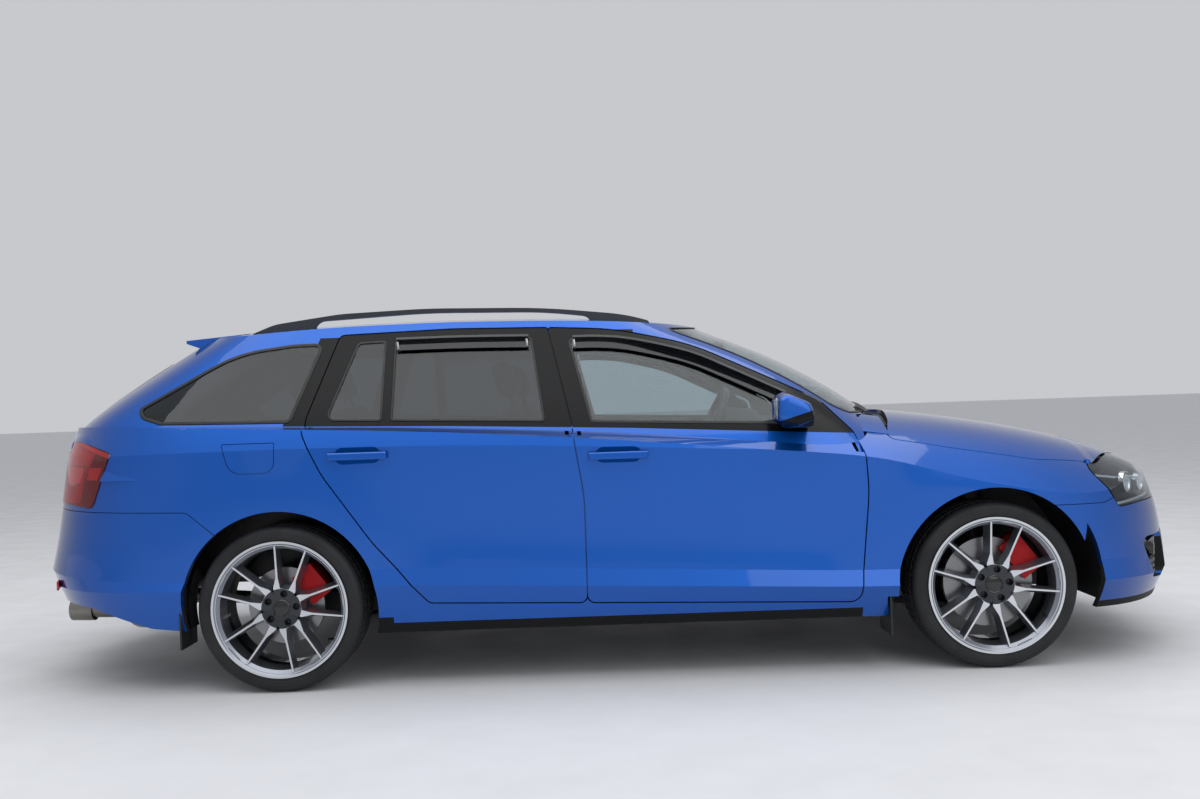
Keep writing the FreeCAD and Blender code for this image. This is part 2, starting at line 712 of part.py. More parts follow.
def corner_cut(before, here, after, radius):
    """Start, middle and end of the arc that rounds one corner of an outline."""
    to_before = (before[0] - here[0], before[1] - here[1])
    to_after = (after[0] - here[0], after[1] - here[1])
    run_before, run_after = math.hypot(*to_before), math.hypot(*to_after)
    unit_before = (to_before[0] / run_before, to_before[1] / run_before)
    unit_after = (to_after[0] / run_after, to_after[1] / run_after)
    cosine = max(-1.0, min(1.0, unit_before[0] * unit_after[0] + unit_before[1] * unit_after[1]))
    half = math.acos(cosine) / 2
    cut = min(radius / math.tan(half), run_before * corner_share, run_after * corner_share)
    if cut <= tiny:
        return (here[0], here[1]), None, (here[0], here[1])
    start = (here[0] + unit_before[0] * cut, here[1] + unit_before[1] * cut)
    end = (here[0] + unit_after[0] * cut, here[1] + unit_after[1] * cut)
    bisector = (unit_before[0] + unit_after[0], unit_before[1] + unit_after[1])
    size = math.hypot(*bisector)
    depth = cut * math.tan(half) * (1 / math.sin(half) - 1)
    middle = (here[0] + bisector[0] / size * depth, here[1] + bisector[1] / size * depth)
    return start, middle, end


def rounded_wire(points, inset, place):
    """Closed outline of straight lines and tangent arcs; each point is (a, b, radius)."""
    corners = placed_corners(points, inset)
    count = len(points)
    cuts = []
    for place_in in range(count):
        before, here, after = corners[place_in - 1], corners[place_in], corners[(place_in + 1) % count]
        radius = points[place_in][2]
        radius = max(0.0, radius - inset if here[2] > 0 else radius + inset)
        cuts.append(corner_cut(before, here, after, radius))
    edges = []
    for (start, middle, end), (following, _, _) in zip(cuts, cuts[1:] + cuts[:1]):
        if middle:
            edges.append(Part.Arc(place(*start), place(*middle), place(*end)).toShape())
        if math.hypot(following[0] - end[0], following[1] - end[1]) > shortest_edge:
            edges.append(Part.LineSegment(place(*end), place(*following)).toShape())
    return Part.Wire(edges)


def side_prism(points, low_y, high_y, inset=0.0):
    """Outline seen from the side, (x, z, radius), carried across the car."""
    wire = rounded_wire(points, inset, lambda a, b: Vector(a, low_y, b))
    return Part.Face(wire).extrude(Vector(0, high_y - low_y, 0))


def top_prism(points, low_z, high_z, inset=0.0):
    wire = rounded_wire(points, inset, lambda a, b: Vector(a, b, low_z))
    return Part.Face(wire).extrude(Vector(0, 0, high_z - low_z))


def end_prism(points, low_x, high_x, inset=0.0):
    wire = rounded_wire(points, inset, lambda a, b: Vector(low_x, a, b))
    return Part.Face(wire).extrude(Vector(high_x - low_x, 0, 0))


def side_points(shares):
    return [(x * half_length, z * height, radius * height) for x, z, radius in shares]


def top_points(shares):
    return [(x * half_length, y * half_width, radius * half_width) for x, y, radius in shares]


def end_points(shares):
    return [(y * half_width, z * height, radius * height) for y, z, radius in shares]


def box(low_x, high_x, low_y, high_y, low_z, high_z):
    return Part.makeBox(high_x - low_x, high_y - low_y, high_z - low_z, Vector(low_x, low_y, low_z))


def box_by_shares(low, high):
    """Box between two corners given as shares of half length, half width and height."""
    return box(low[0] * half_length, high[0] * half_length, low[1] * half_width, high[1] * half_width,
               low[2] * height, high[2] * height)


def box_from(origin, low, high):
    """Box between two corners measured from one point."""
    return box(origin.x + low[0], origin.x + high[0], origin.y + low[1], origin.y + high[1],
               origin.z + low[2], origin.z + high[2])


def drum(radius, low_y, high_y):
    """Cylinder about the Y axis."""
    return Part.makeCylinder(radius, high_y - low_y, Vector(0, low_y, 0), Vector(0, 1, 0))


def rod(start, end, radius):
    run = end - start
    return Part.makeCylinder(radius, run.Length, start, run)


def moved(shape, x, y, z):
    shape = shape.copy()
    shape.translate(Vector(x, y, z))
    return shape


def turned(shape, degrees, centre=Vector(0, 0, 0)):
    """Copy of a shape, turned about a line along Y."""
    shape = shape.copy()
    shape.rotate(centre, Vector(0, 1, 0), degrees)
    return shape


def both(shape):
    return Part.makeCompound([shape, mirrored(shape)])


def joined(*shapes):
    shape = shapes[0]
    for other in shapes[1:]:
        shape = shape.fuse(other)
    return shape.removeSplitter()


def cut_all(shape, tools):
    for tool in tools:
        shape = shape.cut(tool)
    return shape


def largest(shape):
    return max(shape.Solids, key=lambda solid: solid.Volume)


def whole(half):
    """One piece across the middle, from its right half."""
    return largest(half.fuse(mirrored(half)).removeSplitter())


def softened(shape, radius):
    return shape.makeFillet(radius, shape.Edges)


def right_half(shape):
    return shape.common(
        box(-half_length - overrun, half_length + overrun, right_y, 0.0, -overrun, height + overrun))


class Skins:
    """The body as solids of several depths, from the painted face inwards."""

    def __init__(self):
        self.kept = {}

    def once(self, key, make):
        if key not in self.kept:
            self.kept[key] = make()
        return self.kept[key]

    def top_at(self, drop):
        return self.once(("top", drop), lambda: below_surface(
            lambda x, y: top_height(x, y, drop), belly_height - overrun))

    def roof_at(self, drop):
        return self.once(("roof", drop), lambda: below_surface(
            lambda x, y: roof_height(x, y, drop), belly_height - overrun))

    def lower_at(self, inset, drop=0.0):
        return self.once(("lower", inset, drop), lambda: lower_wall(inset).common(self.top_at(drop)))

    def upper_at(self, inset, drop=0.0):
        return self.once(("upper", inset, drop), lambda: upper_wall(inset).common(self.roof_at(drop)))

    def union_at(self, lower_inset, upper_inset, top_drop=0.0, roof_drop=0.0):
        return self.once(("union", lower_inset, upper_inset, top_drop, roof_drop), lambda: self.lower_at(
            lower_inset, top_drop).fuse(self.upper_at(upper_inset, roof_drop)))


skins = Skins()


def keep(name, shape):
    shape.exportStep(os.path.join("parts", name + ".step"))


def keep_pair(name, shape):
    keep(name, both(shape))


def keep_right_and_left(name, shape):
    keep(name + "_right", shape)
    keep(name + "_left", mirrored(shape))


def wheel_room(axle_x, radius, inner_y, outer_y):
    """Round space for a wheel, on the right side."""
    return moved(drum(radius, -outer_y, -inner_y), axle_x, 0, axle_height)


def front_room():
    opening = wheel_room(front_axle_x, arch_radius, wheelhouse_inner_y, half_width + overrun)
    inside = wheel_room(front_axle_x, front_room_radius, wheelhouse_inner_y, half_width - sheet - tiny)
    return opening.fuse(inside)


def rear_room():
    return wheel_room(rear_axle_x, arch_radius, rear_wheelhouse_inner_y, half_width + overrun)


def handle_recess(x, z):
    """Scoop behind a door handle: a round trough with round ends."""
    y = -handle_y - recess_radius + recess_depth
    start, end = Vector(x - recess_length / 2, y, z), Vector(x + recess_length / 2, y, z)
    ends = [Part.makeSphere(recess_radius, point) for point in (start, end)]
    return rod(start, end, recess_radius).fuse(ends[0]).fuse(ends[1])


def handle_bar(x, z):
    """Pull bar of a door handle, on a foot at each end."""
    back_y = -handle_y - handle_stand_out
    low_z, high_z = z - handle_height / 2, z + handle_height / 2
    bar = box(x - handle_length / 2, x + handle_length / 2, back_y - handle_thickness, back_y, low_z, high_z)
    bar = softened(bar, handle_edge)
    for side in (-1, 1):
        inner_x = x + side * (handle_length / 2 - handle_edge - handle_foot)
        outer_x = x + side * (handle_length / 2 - handle_edge)
        bar = bar.fuse(box(min(inner_x, outer_x), max(inner_x, outer_x), back_y - handle_thickness / 2,
                           -handle_y + handle_foot_sunk, low_z + handle_edge, high_z - handle_edge))
    return bar


def door(shares, windows, handle_shares):
    """One right door: a skin with an inner frame behind it, its windows cut, and its handle."""
    points = side_points(shares)
    outer = skins.union_at(0.0, 0.0)
    middle = skins.union_at(skin_depth, frame_skin)
    deep = skins.union_at(wall_depth, frame_depth, 0.0, frame_depth)
    skin = outer.common(side_prism(points, right_y, 0.0, shut_gap / 2)).cut(middle)
    inner_low = skins.lower_at(skin_depth).common(side_prism(points, right_y, 0.0, inner_inset)).cut(deep)
    inner_high = skins.upper_at(frame_skin).common(side_prism(points, right_y, 0.0, flange_inset)).cut(deep)
    inner_high = inner_high.cut(skins.lower_at(skin_depth))
    panel = skin.fuse(inner_low).fuse(inner_high)
    handle_x, handle_z = handle_shares[0] * half_length, handle_shares[1] * height
    tools = [side_prism(side_points(window), right_y, 0.0) for window in windows]
    panel = largest(cut_all(panel, tools + [handle_recess(handle_x, handle_z)]).removeSplitter())
    return largest(panel.fuse(handle_bar(handle_x, handle_z)))


def glass_layer():
    return skins.upper_at(glass_drop).cut(skins.upper_at(glass_drop + glass_thickness))


def side_glass(shares):
    return glass_layer().common(side_prism(side_points(shares), right_y, 0.0, tiny))


def make_windscreen():
    opening = end_prism(end_points(windscreen_shares), 0.0, half_length, tiny)
    return whole(largest(glass_layer().common(right_half(opening))))


def make_tailgate_glass():
    opening = end_prism(end_points(tailgate_window_shares), -half_length - overrun, 0.0, tiny)
    return whole(largest(glass_layer().common(right_half(opening))))


def tailgate_region(inset=0.0):
    return end_prism(end_points(tailgate_shares), -half_length - overrun,
                     tailgate_hinge_x_share * half_length - inset, inset)


def lamp_region(inset):
    return side_prism(side_points(tail_lamp_shares), right_y, -lamp_inner_share * half_width, inset)


def front_opening(shares, grow=0.0):
    """Opening in the nose, seen from the front."""
    return right_half(end_prism(end_points(shares), 0.0, half_length + overrun, -grow))


def bonnet_prism(inset):
    return top_prism(top_points(bonnet_shares), height * bonnet_low_share, height, inset)


def headlamp_prism(inset):
    return side_prism(side_points(headlamp_shares), right_y, -headlamp_inner_share * half_width, inset)


def below_bonnet(clear):
    """Space from the painted top down to a depth under the bonnet."""
    return skins.top_at(0.0).cut(skins.top_at(bonnet_depth + clear))


def fuel_flap_zone(inset):
    return side_prism(side_points(fuel_flap_shares), right_y, -half_width / 2, inset)


def make_body_side():
    """Right side from the front pillar to the tail, with door openings, wheel housing and centre pillar."""
    shell = skins.union_at(0.0, 0.0).cut(skins.union_at(wall_depth, pillar_depth, 0.0, roof_depth))
    right = shell.common(
        box(-half_length - overrun, half_length, right_y, -half_roof_share * half_width, 0.0, height))
    bay_start, bay_height = engine_bay_shares
    aperture_layer = skins.union_at(skin_depth + flange_gap, frame_skin + flange_gap)
    tools = [box(bay_start * half_length, half_length + overrun, right_y, 0.0, 0.0, bay_height * height),
             front_room(), rear_room(),
             side_prism(side_points(rear_bumper_shares), right_y, 0.0),
             side_prism(side_points(quarter_window_shares), right_y, 0.0),
             right_half(tailgate_region(-shut_gap)),
             front_opening(windscreen_shares),
             side_prism(side_points(wing_shares), right_y, 0.0).cut(skins.union_at(sheet, 0.0, sheet)),
             lamp_region(0.0).cut(skins.lower_at(lamp_depth)),
             fuel_flap_zone(0.0).cut(skins.lower_at(flap_depth + tiny))]
    for shares in (front_door_shares, rear_door_shares):
        points = side_points(shares)
        tools.append(side_prism(points, right_y, 0.0, -shut_gap / 2).cut(aperture_layer))
        tools.append(side_prism(points, right_y, 0.0, flange_inset).common(skins.lower_at(0.0)))
        tools.append(side_prism(points, right_y, 0.0, flange_inset / 2).cut(skins.lower_at(0.0)))
    side = largest(cut_all(right, tools))
    return largest(side.fuse(make_centre_pillar()).fuse(make_wheel_housing()))


def make_centre_pillar():
    deep = frame_depth + flange_gap
    post = skins.union_at(wall_depth + flange_gap, deep).cut(skins.union_at(wall_depth + sheet, deep + sheet))
    return post.common(side_prism(side_points(b_pillar_shares), right_y, -half_roof_share * half_width))


def make_wheel_housing():
    house = wheel_room(rear_axle_x, arch_radius + sheet, rear_wheelhouse_inner_y - sheet,
                       half_width - wall_depth)
    return cut_all(house, [
        rear_room(), box(-half_length, half_length, right_y, 0.0, 0.0, floor_height),
        side_prism(side_points(rear_door_shares), right_y, 0.0),
        box(-half_length, 0.0, -half_width + wall_depth + rail_width, 0.0, 0.0, axle_height + rail_width)])


def make_roof():
    shell = skins.upper_at(0.0).cut(skins.upper_at(pillar_depth, roof_depth))
    zone = box(tailgate_hinge_x_share * half_length + shut_gap, half_length,
               -half_roof_share * half_width, 0.0, roof_low_share * height, height + overrun)
    return whole(largest(cut_all(shell.common(zone), [front_opening(windscreen_shares), tailgate_arm(tiny)])))


def make_wing():
    layer = skins.lower_at(0.0).cut(skins.lower_at(sheet).common(skins.top_at(sheet)))
    wing = layer.common(side_prism(side_points(wing_shares), right_y, -half_width / 3))
    tools = [side_prism(side_points(front_door_shares), right_y, 0.0, -shut_gap / 2),
             side_prism(side_points(front_bumper_shares), right_y, 0.0, -shut_gap / 2),
             headlamp_prism(-shut_gap / 2), bonnet_prism(-shut_gap), front_room(), skins.upper_at(0.0),
             box_by_shares(*cowl_shares)]
    return largest(cut_all(wing, tools))


def make_bonnet():
    outer = skins.lower_at(0.0).common(right_half(bonnet_prism(0.0)))
    layer = cut_all(outer, [skins.top_at(bonnet_depth), headlamp_prism(-shut_gap), skins.upper_at(-shut_gap)])
    arm = bonnet_arm(0.0).common(skins.top_at(bonnet_depth / 2))
    return whole(largest(layer.fuse(arm)))


def curved_arm(axis, radii, middle_y, fan, play):
    """Piece of a ring about a hinge line, cut out by a fan, with play all round."""
    (axis_x, axis_z), (inner, outer) = axis, radii
    low_y, high_y = middle_y - arm_width / 2 - play, middle_y + arm_width / 2 + play
    arm = moved(drum(outer + play, low_y, high_y).cut(drum(inner - play, low_y, high_y)), axis_x, 0, axis_z)
    points = [(axis_x + x * outer, axis_z + z * outer, 0) for x, z in fan]
    return arm.common(side_prism(points, right_y, 0.0, -play))


def tailgate_arm(play):
    """Arm that slides out of a pocket in the roof's rear edge."""
    axis = (tailgate_hinge_x_share * half_length, tailgate_hinge_z)
    return curved_arm(axis, tailgate_arm_radii, -tailgate_arm_y, tailgate_fan_shares, play)


def bonnet_arm(play):
    """Arm that swings up from its bracket on the bulkhead."""
    return curved_arm((bonnet_hinge_x, bonnet_hinge_z), bonnet_arm_radii, -bonnet_arm_y,
                      bonnet_fan_shares, play)


def inner_lamp_zone(inset):
    low, high = inner_lamp_height_shares
    zone = box(-half_length - overrun, -half_length / 2, -half_width,
               -inner_lamp_inner_share * half_width - inset, low * height + inset, high * height - inset)
    return zone.cut(skins.union_at(inner_lamp_depth, inner_lamp_depth))


def make_inner_lamp():
    layer = skins.union_at(0.0, 0.0).common(right_half(tailgate_region(shut_gap / 2)))
    return largest(layer.common(inner_lamp_zone(tiny)))


def make_tailgate():
    """Tailgate: a skin with an inner frame, its window, its hinge arms and the roof spoiler."""
    skin = skins.union_at(tailgate_skin, tailgate_skin, 0.0, tailgate_skin)
    outer = skins.union_at(0.0, 0.0).common(right_half(tailgate_region())).cut(skin)
    inner = skin.common(right_half(tailgate_region(tailgate_inner_inset)))
    inner = inner.cut(skins.union_at(tailgate_depth, tailgate_depth, 0.0, tailgate_depth))
    window = end_prism(end_points(tailgate_window_shares), -half_length - overrun, 0.0)
    gate = cut_all(outer.fuse(inner), [right_half(window), inner_lamp_zone(0.0)])
    arm = tailgate_arm(0.0).common(skins.upper_at(tailgate_skin / 2, tailgate_skin / 2))
    return whole(largest(gate.fuse(arm).fuse(make_spoiler())))


def make_spoiler():
    """Right half of the lip that carries the roof's line on over the rear window."""
    wires = []
    for section in range(spoiler_sections + 1):
        share = section / spoiler_sections
        y = -spoiler_half_width * (1 - share)
        tip = -spoiler_tip_x + spoiler_sweep * (1 - share) ** 2
        top = roof_height(-spoiler_front_x, y) + spoiler_lift
        tip_top = roof_height(tip, y) + spoiler_lift
        outline = [(-spoiler_front_x, top), (tip, tip_top), (tip, tip_top - spoiler_lip),
                   (-spoiler_root_x, tip_top - spoiler_depth), (-spoiler_front_x, tip_top - spoiler_depth)]
        points = [Vector(x, y, z) for x, z in outline]
        wires.append(Part.makePolygon(points + [points[0]]))
    return Part.makeLoft(wires, True, True).cut(skins.upper_at(spoiler_sunk, spoiler_sunk))


def make_front_bumper():
    layer = skins.lower_at(0.0).cut(skins.lower_at(bumper_depth))
    layer = layer.common(side_prism(side_points(front_bumper_shares), right_y, 0.0))
    openings = [front_opening(upper_grille_shares), front_opening(lower_grille_shares),
                front_opening(side_intake_shares)]
    under = box(0.0, half_length + overrun, right_y, 0.0, -overrun, belly_height + tiny)
    layer = cut_all(layer, [bonnet_prism(-shut_gap), headlamp_prism(-tiny), front_room()])
    layer = cut_all(layer, openings + [under])
    return whole(largest(layer))


def make_grille():
    """Mesh panels behind the openings of the front bumper, on one bar."""
    back = skins.lower_at(grille_set_back).cut(skins.lower_at(grille_set_back + grille_depth))
    bar = skins.lower_at(bumper_depth).cut(skins.lower_at(bumper_depth + grille_bar_depth))
    half = bar.common(front_opening(grille_bar_shares))
    for shares in (upper_grille_shares, lower_grille_shares, side_intake_shares):
        half = half.fuse(back.common(front_opening(shares, grille_lap)))
    return whole(largest(half.cut(below_bonnet(3 * shut_gap))))


def make_headlamp():
    layer = skins.lower_at(lamp_set_in).cut(skins.lower_at(headlamp_depth))
    lamp = layer.common(headlamp_prism(shut_gap / 2))
    under_bonnet = below_bonnet(shut_gap).common(bonnet_prism(-3 * shut_gap))
    return largest(cut_all(lamp, [bonnet_prism(-shut_gap), front_room(), under_bonnet]))


def make_tail_lamp():
    layer = skins.lower_at(0.0).cut(skins.lower_at(lamp_depth - tiny))
    return largest(layer.common(lamp_region(shut_gap / 4)).cut(tailgate_region(-shut_gap)))


def make_rear_bumper():
    layer = skins.lower_at(0.0).cut(skins.lower_at(bumper_depth))
    layer = layer.common(side_prism(side_points(rear_bumper_shares), right_y, 0.0, shut_gap / 2))
    under = side_prism(side_points(under_tail_shares), right_y, 0.0)
    return whole(largest(cut_all(layer, [rear_room(), tailgate_region(-shut_gap), under])))


def make_fuel_flap():
    return skins.lower_at(0.0).common(fuel_flap_zone(shut_gap / 2)).cut(skins.lower_at(flap_depth))


def make_floor():
    """Floor from the bulkhead to the tail: tunnel, seat step, load floor, spare-wheel well and rails."""
    inner = skins.lower_at(wall_depth)
    step_top = rear_seat_base - cushion_thickness
    step_x, heel_x = seat_step_share * half_length, heel_share * half_length
    rear_x = load_floor_rear_share * half_length
    tunnel_x = tunnel_front_share * half_length
    front = box(step_x, bulkhead_x_share * half_length, right_y, -tunnel_width / 2 + sheet, floor_height,
                floor_height + floor_thickness)
    tunnel = box(step_x, tunnel_x, -tunnel_width / 2, 0.0, floor_height, floor_height + tunnel_height)
    tunnel = tunnel.cut(
        box(step_x, tunnel_x, -tunnel_width / 2 + sheet, 0.0, 0.0, floor_height + tunnel_height - sheet))
    step = box(seat_step_rear_share * half_length, step_x, right_y, 0.0, floor_height, step_top)
    rear = box(heel_x - sheet, step_x, right_y, 0.0, step_top - sheet, step_top)
    heel = box(heel_x - sheet, heel_x, right_y, 0.0, step_top - sheet, load_floor_height)
    load = box(rear_x, heel_x, right_y, 0.0, load_floor_height - sheet, load_floor_height)
    rail_y = -rear_rail_y_share * half_width
    rail = box(rear_rail_end_share * half_length, well_shares[1] * half_length, rail_y, rail_y + rail_width,
               load_floor_height - rail_width - sheet, load_floor_height - sheet)
    end_wall = skins.lower_at(bumper_depth + tiny).cut(inner).common(
        box(-half_length, -half_length / 2, -half_roof_share * half_width, 0.0, end_wall_low_share * height,
            tailgate_sill_share * height))
    half = tunnel
    for piece in (front, step, rear, heel, load):
        half = half.fuse(inner.common(piece))
    half = half.fuse(make_well()).fuse(rail).fuse(end_wall).fuse(make_load_mat())
    house = wheel_room(rear_axle_x, arch_radius + sheet, rear_wheelhouse_inner_y - sheet, half_width)
    return whole(largest(cut_all(half, [house, right_half(tailgate_region(-shut_gap))])))


def make_well():
    """Tray for the spare wheel under the load floor."""
    rear_x, front_x = well_shares[0] * half_length, well_shares[1] * half_length
    side_y, top = well_side_share * half_width, load_floor_height
    well = box(rear_x, front_x, -side_y, 0.0, top - load_well_depth - sheet, top - sheet)
    return well.cut(box(rear_x + sheet, front_x - sheet, -side_y + sheet, 0.0, top - load_well_depth, top))


def make_load_mat():
    """Flat mat that luggage stands on, between the wheel housings."""
    side_y = rear_wheelhouse_inner_y - sheet - load_mat_gap
    return box(load_mat_shares[0] * half_length, load_mat_shares[1] * half_length, -side_y, 0.0,
               load_floor_height, load_floor_height + load_mat_thickness)


def make_front_structure():
    """Inner wings with strut towers, bulkhead, long rails, bonnet brackets and the front cross panel."""
    inside = skins.lower_at(bumper_depth + tiny)
    under = skins.top_at(bonnet_depth + bonnet_clear)
    back_x = bulkhead_x_share * half_length
    zone = box(back_x, structure_front_share * half_length, right_y, -rail_inner_y, floor_height, height)
    bay = box(back_x + sheet, half_length, -wheelhouse_inner_y + sheet, 0.0, floor_height + rail_width, height)
    block = cut_all(inside.common(zone).common(under), [
        front_room(), headlamp_prism(-shut_gap), bay, skins.upper_at(0.0),
        side_prism(side_points(front_door_shares), right_y, 0.0, -shut_gap)])
    bulkhead = inside.common(box(back_x, back_x + sheet, -wheelhouse_inner_y - rail_width, 0.0, floor_height,
                                 bulkhead_top_share * height))
    return whole(largest(joined(block, bulkhead, make_front_panel(), make_bonnet_bracket())))


def make_front_panel():
    """Cross panel that carries the radiator behind the grille."""
    panel_x = front_panel_share * half_length
    side_share, low_share, high_share = radiator_shares
    panel = box(panel_x, panel_x + front_panel_width, -wheelhouse_inner_y, 0.0, floor_height,
                front_panel_top_share * height)
    panel = panel.cut(
        box(0.0, half_length, -side_share * half_width, 0.0, low_share * height, high_share * height))
    return panel.common(skins.lower_at(grille_set_back + grille_depth + sheet)).common(
        skins.top_at(bonnet_depth + 2 * shut_gap))


def make_bonnet_bracket():
    """Bracket on the bulkhead, with the pocket that the bonnet's arm swings out of."""
    inner, outer = bonnet_arm_radii
    half = arm_width / 2 + bracket_wall
    bracket = box(bulkhead_x_share * half_length + sheet / 2, bonnet_hinge_x + bracket_wall,
                  -bonnet_arm_y - half, -bonnet_arm_y + half,
                  bonnet_hinge_z - outer - 2 * bracket_wall, bonnet_hinge_z - inner + bracket_wall)
    return bracket.cut(bonnet_arm(tiny))


def make_scuttle(structure):
    """Panel between the bonnet and the windscreen."""
    layer = skins.top_at(cowl_drop).cut(skins.top_at(cowl_drop + sheet))
    layer = layer.common(box_by_shares(*cowl_shares))
    tools = [right_half(bonnet_prism(-shut_gap)), skins.upper_at(-tiny), structure]
    return whole(largest(cut_all(layer, tools)))


def tyre_shape():
    half = tyre_width / 2
    bead = half * tyre_bead_share
    inner = rim_radius - rim_seat_drop
    bulge = inner + tyre_bulge_height
    shoulder = tyre_radius - tyre_shoulder_drop
    side = [(inner, bead), (bulge, half), (shoulder, half - tyre_shoulder_in),
            (tyre_radius, half - tyre_tread_in)]
    points = [Vector(r, -y, 0) for r, y in side] + [Vector(r, y, 0) for r, y in reversed(side)]
    face = Part.Face(Part.makePolygon(points + [points[0]]))
    return face.revolve(Vector(0, 0, 0), Vector(0, 1, 0), 360)


def both_ways(shares):
    return shares + [(out, -aside) for out, aside in reversed(shares)]


def spoke_body(front, back, lead):
    """Drafted body between two outlines of (share outwards, share sideways), dished in to the hub."""
    wires = []
    for outline, depth in ((both_ways(front), -lead), (both_ways(back), spoke_depth)):
        points = []
        for out, aside in outline:
            y = -spoke_rim_y + (1.0 - out) * rim_radius * spoke_dish_share + depth
            points.append(Vector(out * rim_radius, y, aside * rim_radius))
        wires.append(Part.makePolygon(points + [points[0]]))
    return Part.makeLoft(wires, True, True)


def rim_barrel():
    """Barrel of a wheel with its well, seats and outer lip."""
    half = rim_width / 2
    seat = rim_radius - rim_seat_drop
    outside = [(rim_radius - tiny, -half - rim_lip), (rim_radius - rim_lip_height, -half - rim_lip),
               (seat - barrel_wall, -half + rim_lip), (seat - rim_well, 0.0),
               (seat - barrel_wall, half - rim_lip), (seat - rim_lip / 4, half)]
    inside = [(seat - tiny, half), (seat - tiny, half - rim_lip), (seat - rim_well / 2, 0.0),
              (seat - tiny, -half + rim_lip), (seat - tiny, -half - rim_lip / 2),
              (rim_radius - tiny, -half - rim_lip / 2)]
    points = [Vector(r, y, 0) for r, y in outside + inside]
    return Part.Face(Part.makePolygon(points + [points[0]])).revolve(Vector(0, 0, 0), Vector(0, 1, 0), 360)


def rim_shape(disc):
    """Right wheel about its own centre: barrel, paired spokes with drafted flanks, hub and brake disc."""
    seat = rim_radius - rim_seat_drop
    hub = drum(hub_radius, -spoke_hub_y + hub_sink, -hub_plane)
    rotor = drum(disc, -hub_plane, disc_thickness - hub_plane)
    pair = spoke_body(spoke_half_shares, spoke_back_half_shares, 0.0)
    pair = pair.common(drum(seat - spoke_trim, -rim_width, rim_width))
    window = spoke_body(window_half_shares, window_back_half_shares, window_lead)
    pocket = moved(drum(bolt_pocket_radius, -spoke_hub_y, -spoke_hub_y + bolt_pocket_depth + hub_sink),
                   bolt_circle_radius, 0, 0)
    spokes = pair.cut(window)
    wheel = hub.fuse(rotor)
    turns = [360.0 / spoke_count * number - spoke_turn for number in range(spoke_count)]
    for turn in turns:
        wheel = wheel.fuse(turned(spokes, turn))
    wheel = wheel.fuse(rim_barrel())
    return largest(cut_all(wheel, [turned(pocket, turn) for turn in turns]))


def caliper_shape(disc, disc_face_y):
    """Claw over the upper edge of a brake disc, about the wheel's centre."""
    inner_y = disc_face_y + disc_thickness
    half = disc * caliper_half_share
    claw = box(-half, half, disc_face_y - caliper_face, inner_y + caliper_reach, disc - caliper_below,
               disc + caliper_above)
    slot = box(-disc, disc, disc_face_y - pad_gap, inner_y + pad_gap, 0.0, disc + disc_edge_gap)
    return turned(claw.cut(slot), caliper_turn)


def make_knuckle():
    """Right front upright with its strut, hub and caliper; it turns about the strut's axis."""
    low = Vector(front_axle_x, -kingpin_low_y, kingpin_low_z)
    high = Vector(front_axle_x, -kingpin_high_y, kingpin_high_z)
    axis = (high - low).normalize()
    disc_face_y = -front_track / 2 - hub_plane
    plane = disc_face_y + disc_thickness + tiny
    hub = rod(Vector(front_axle_x, plane, axle_height),
              Vector(front_axle_x, -kingpin_low_y + front_hub_reach, axle_height), front_hub_radius)
    upright = box_from(Vector(front_axle_x, -kingpin_low_y, axle_height), upright_low, upright_high)
    caliper = moved(caliper_shape(disc_radius, disc_face_y), front_axle_x, 0, axle_height)
    caliper_arm = box_from(Vector(front_axle_x, plane, axle_height), caliper_arm_low, caliper_arm_high)
    strut = rod(low + axis * strut_foot, high, strut_radius)
    spring = rod(low + axis * spring_foot, high, spring_radius)
    return joined(strut, spring, hub, upright, caliper, caliper_arm)


def make_rear_axle():
    """Twist beam with its trailing arms, hubs, dampers, calipers and body bushes."""
    disc_face_y = -rear_track / 2 - hub_plane
    plane = disc_face_y + disc_thickness + tiny
    inner_y = -rear_wheelhouse_inner_y
    centre = Vector(rear_axle_x, inner_y, axle_height)
    beam_x, beam_z = rear_axle_x + beam_ahead, axle_height - beam_drop
    beam = rod(Vector(beam_x, inner_y + beam_end, beam_z), Vector(beam_x, 0, beam_z), beam_radius)
    arm = box_from(centre, trailing_arm_low, trailing_arm_high)
    hub = rod(Vector(rear_axle_x, plane, axle_height), centre, rear_hub_radius)
    damper = rod(Vector(rear_axle_x - damper_behind, inner_y + damper_foot_in, axle_height),
                 Vector(rear_axle_x - damper_behind, inner_y + damper_top_in,
                        load_floor_height - sheet - damper_clear), damper_radius)
    caliper = moved(caliper_shape(rear_disc_radius, disc_face_y), rear_axle_x, 0, axle_height)
    caliper_arm = box_from(Vector(rear_axle_x, plane, axle_height), rear_caliper_arm_low, rear_caliper_arm_high)
    floor_under = rear_seat_base - cushion_thickness - sheet
    bush = box(rear_axle_x + bush_low[0], rear_axle_x + bush_high[0], inner_y + bush_low[1],
               inner_y + bush_high[1], axle_height + bush_low[2], floor_under)
    return whole(joined(beam, arm, hub, damper, caliper, caliper_arm, bush))


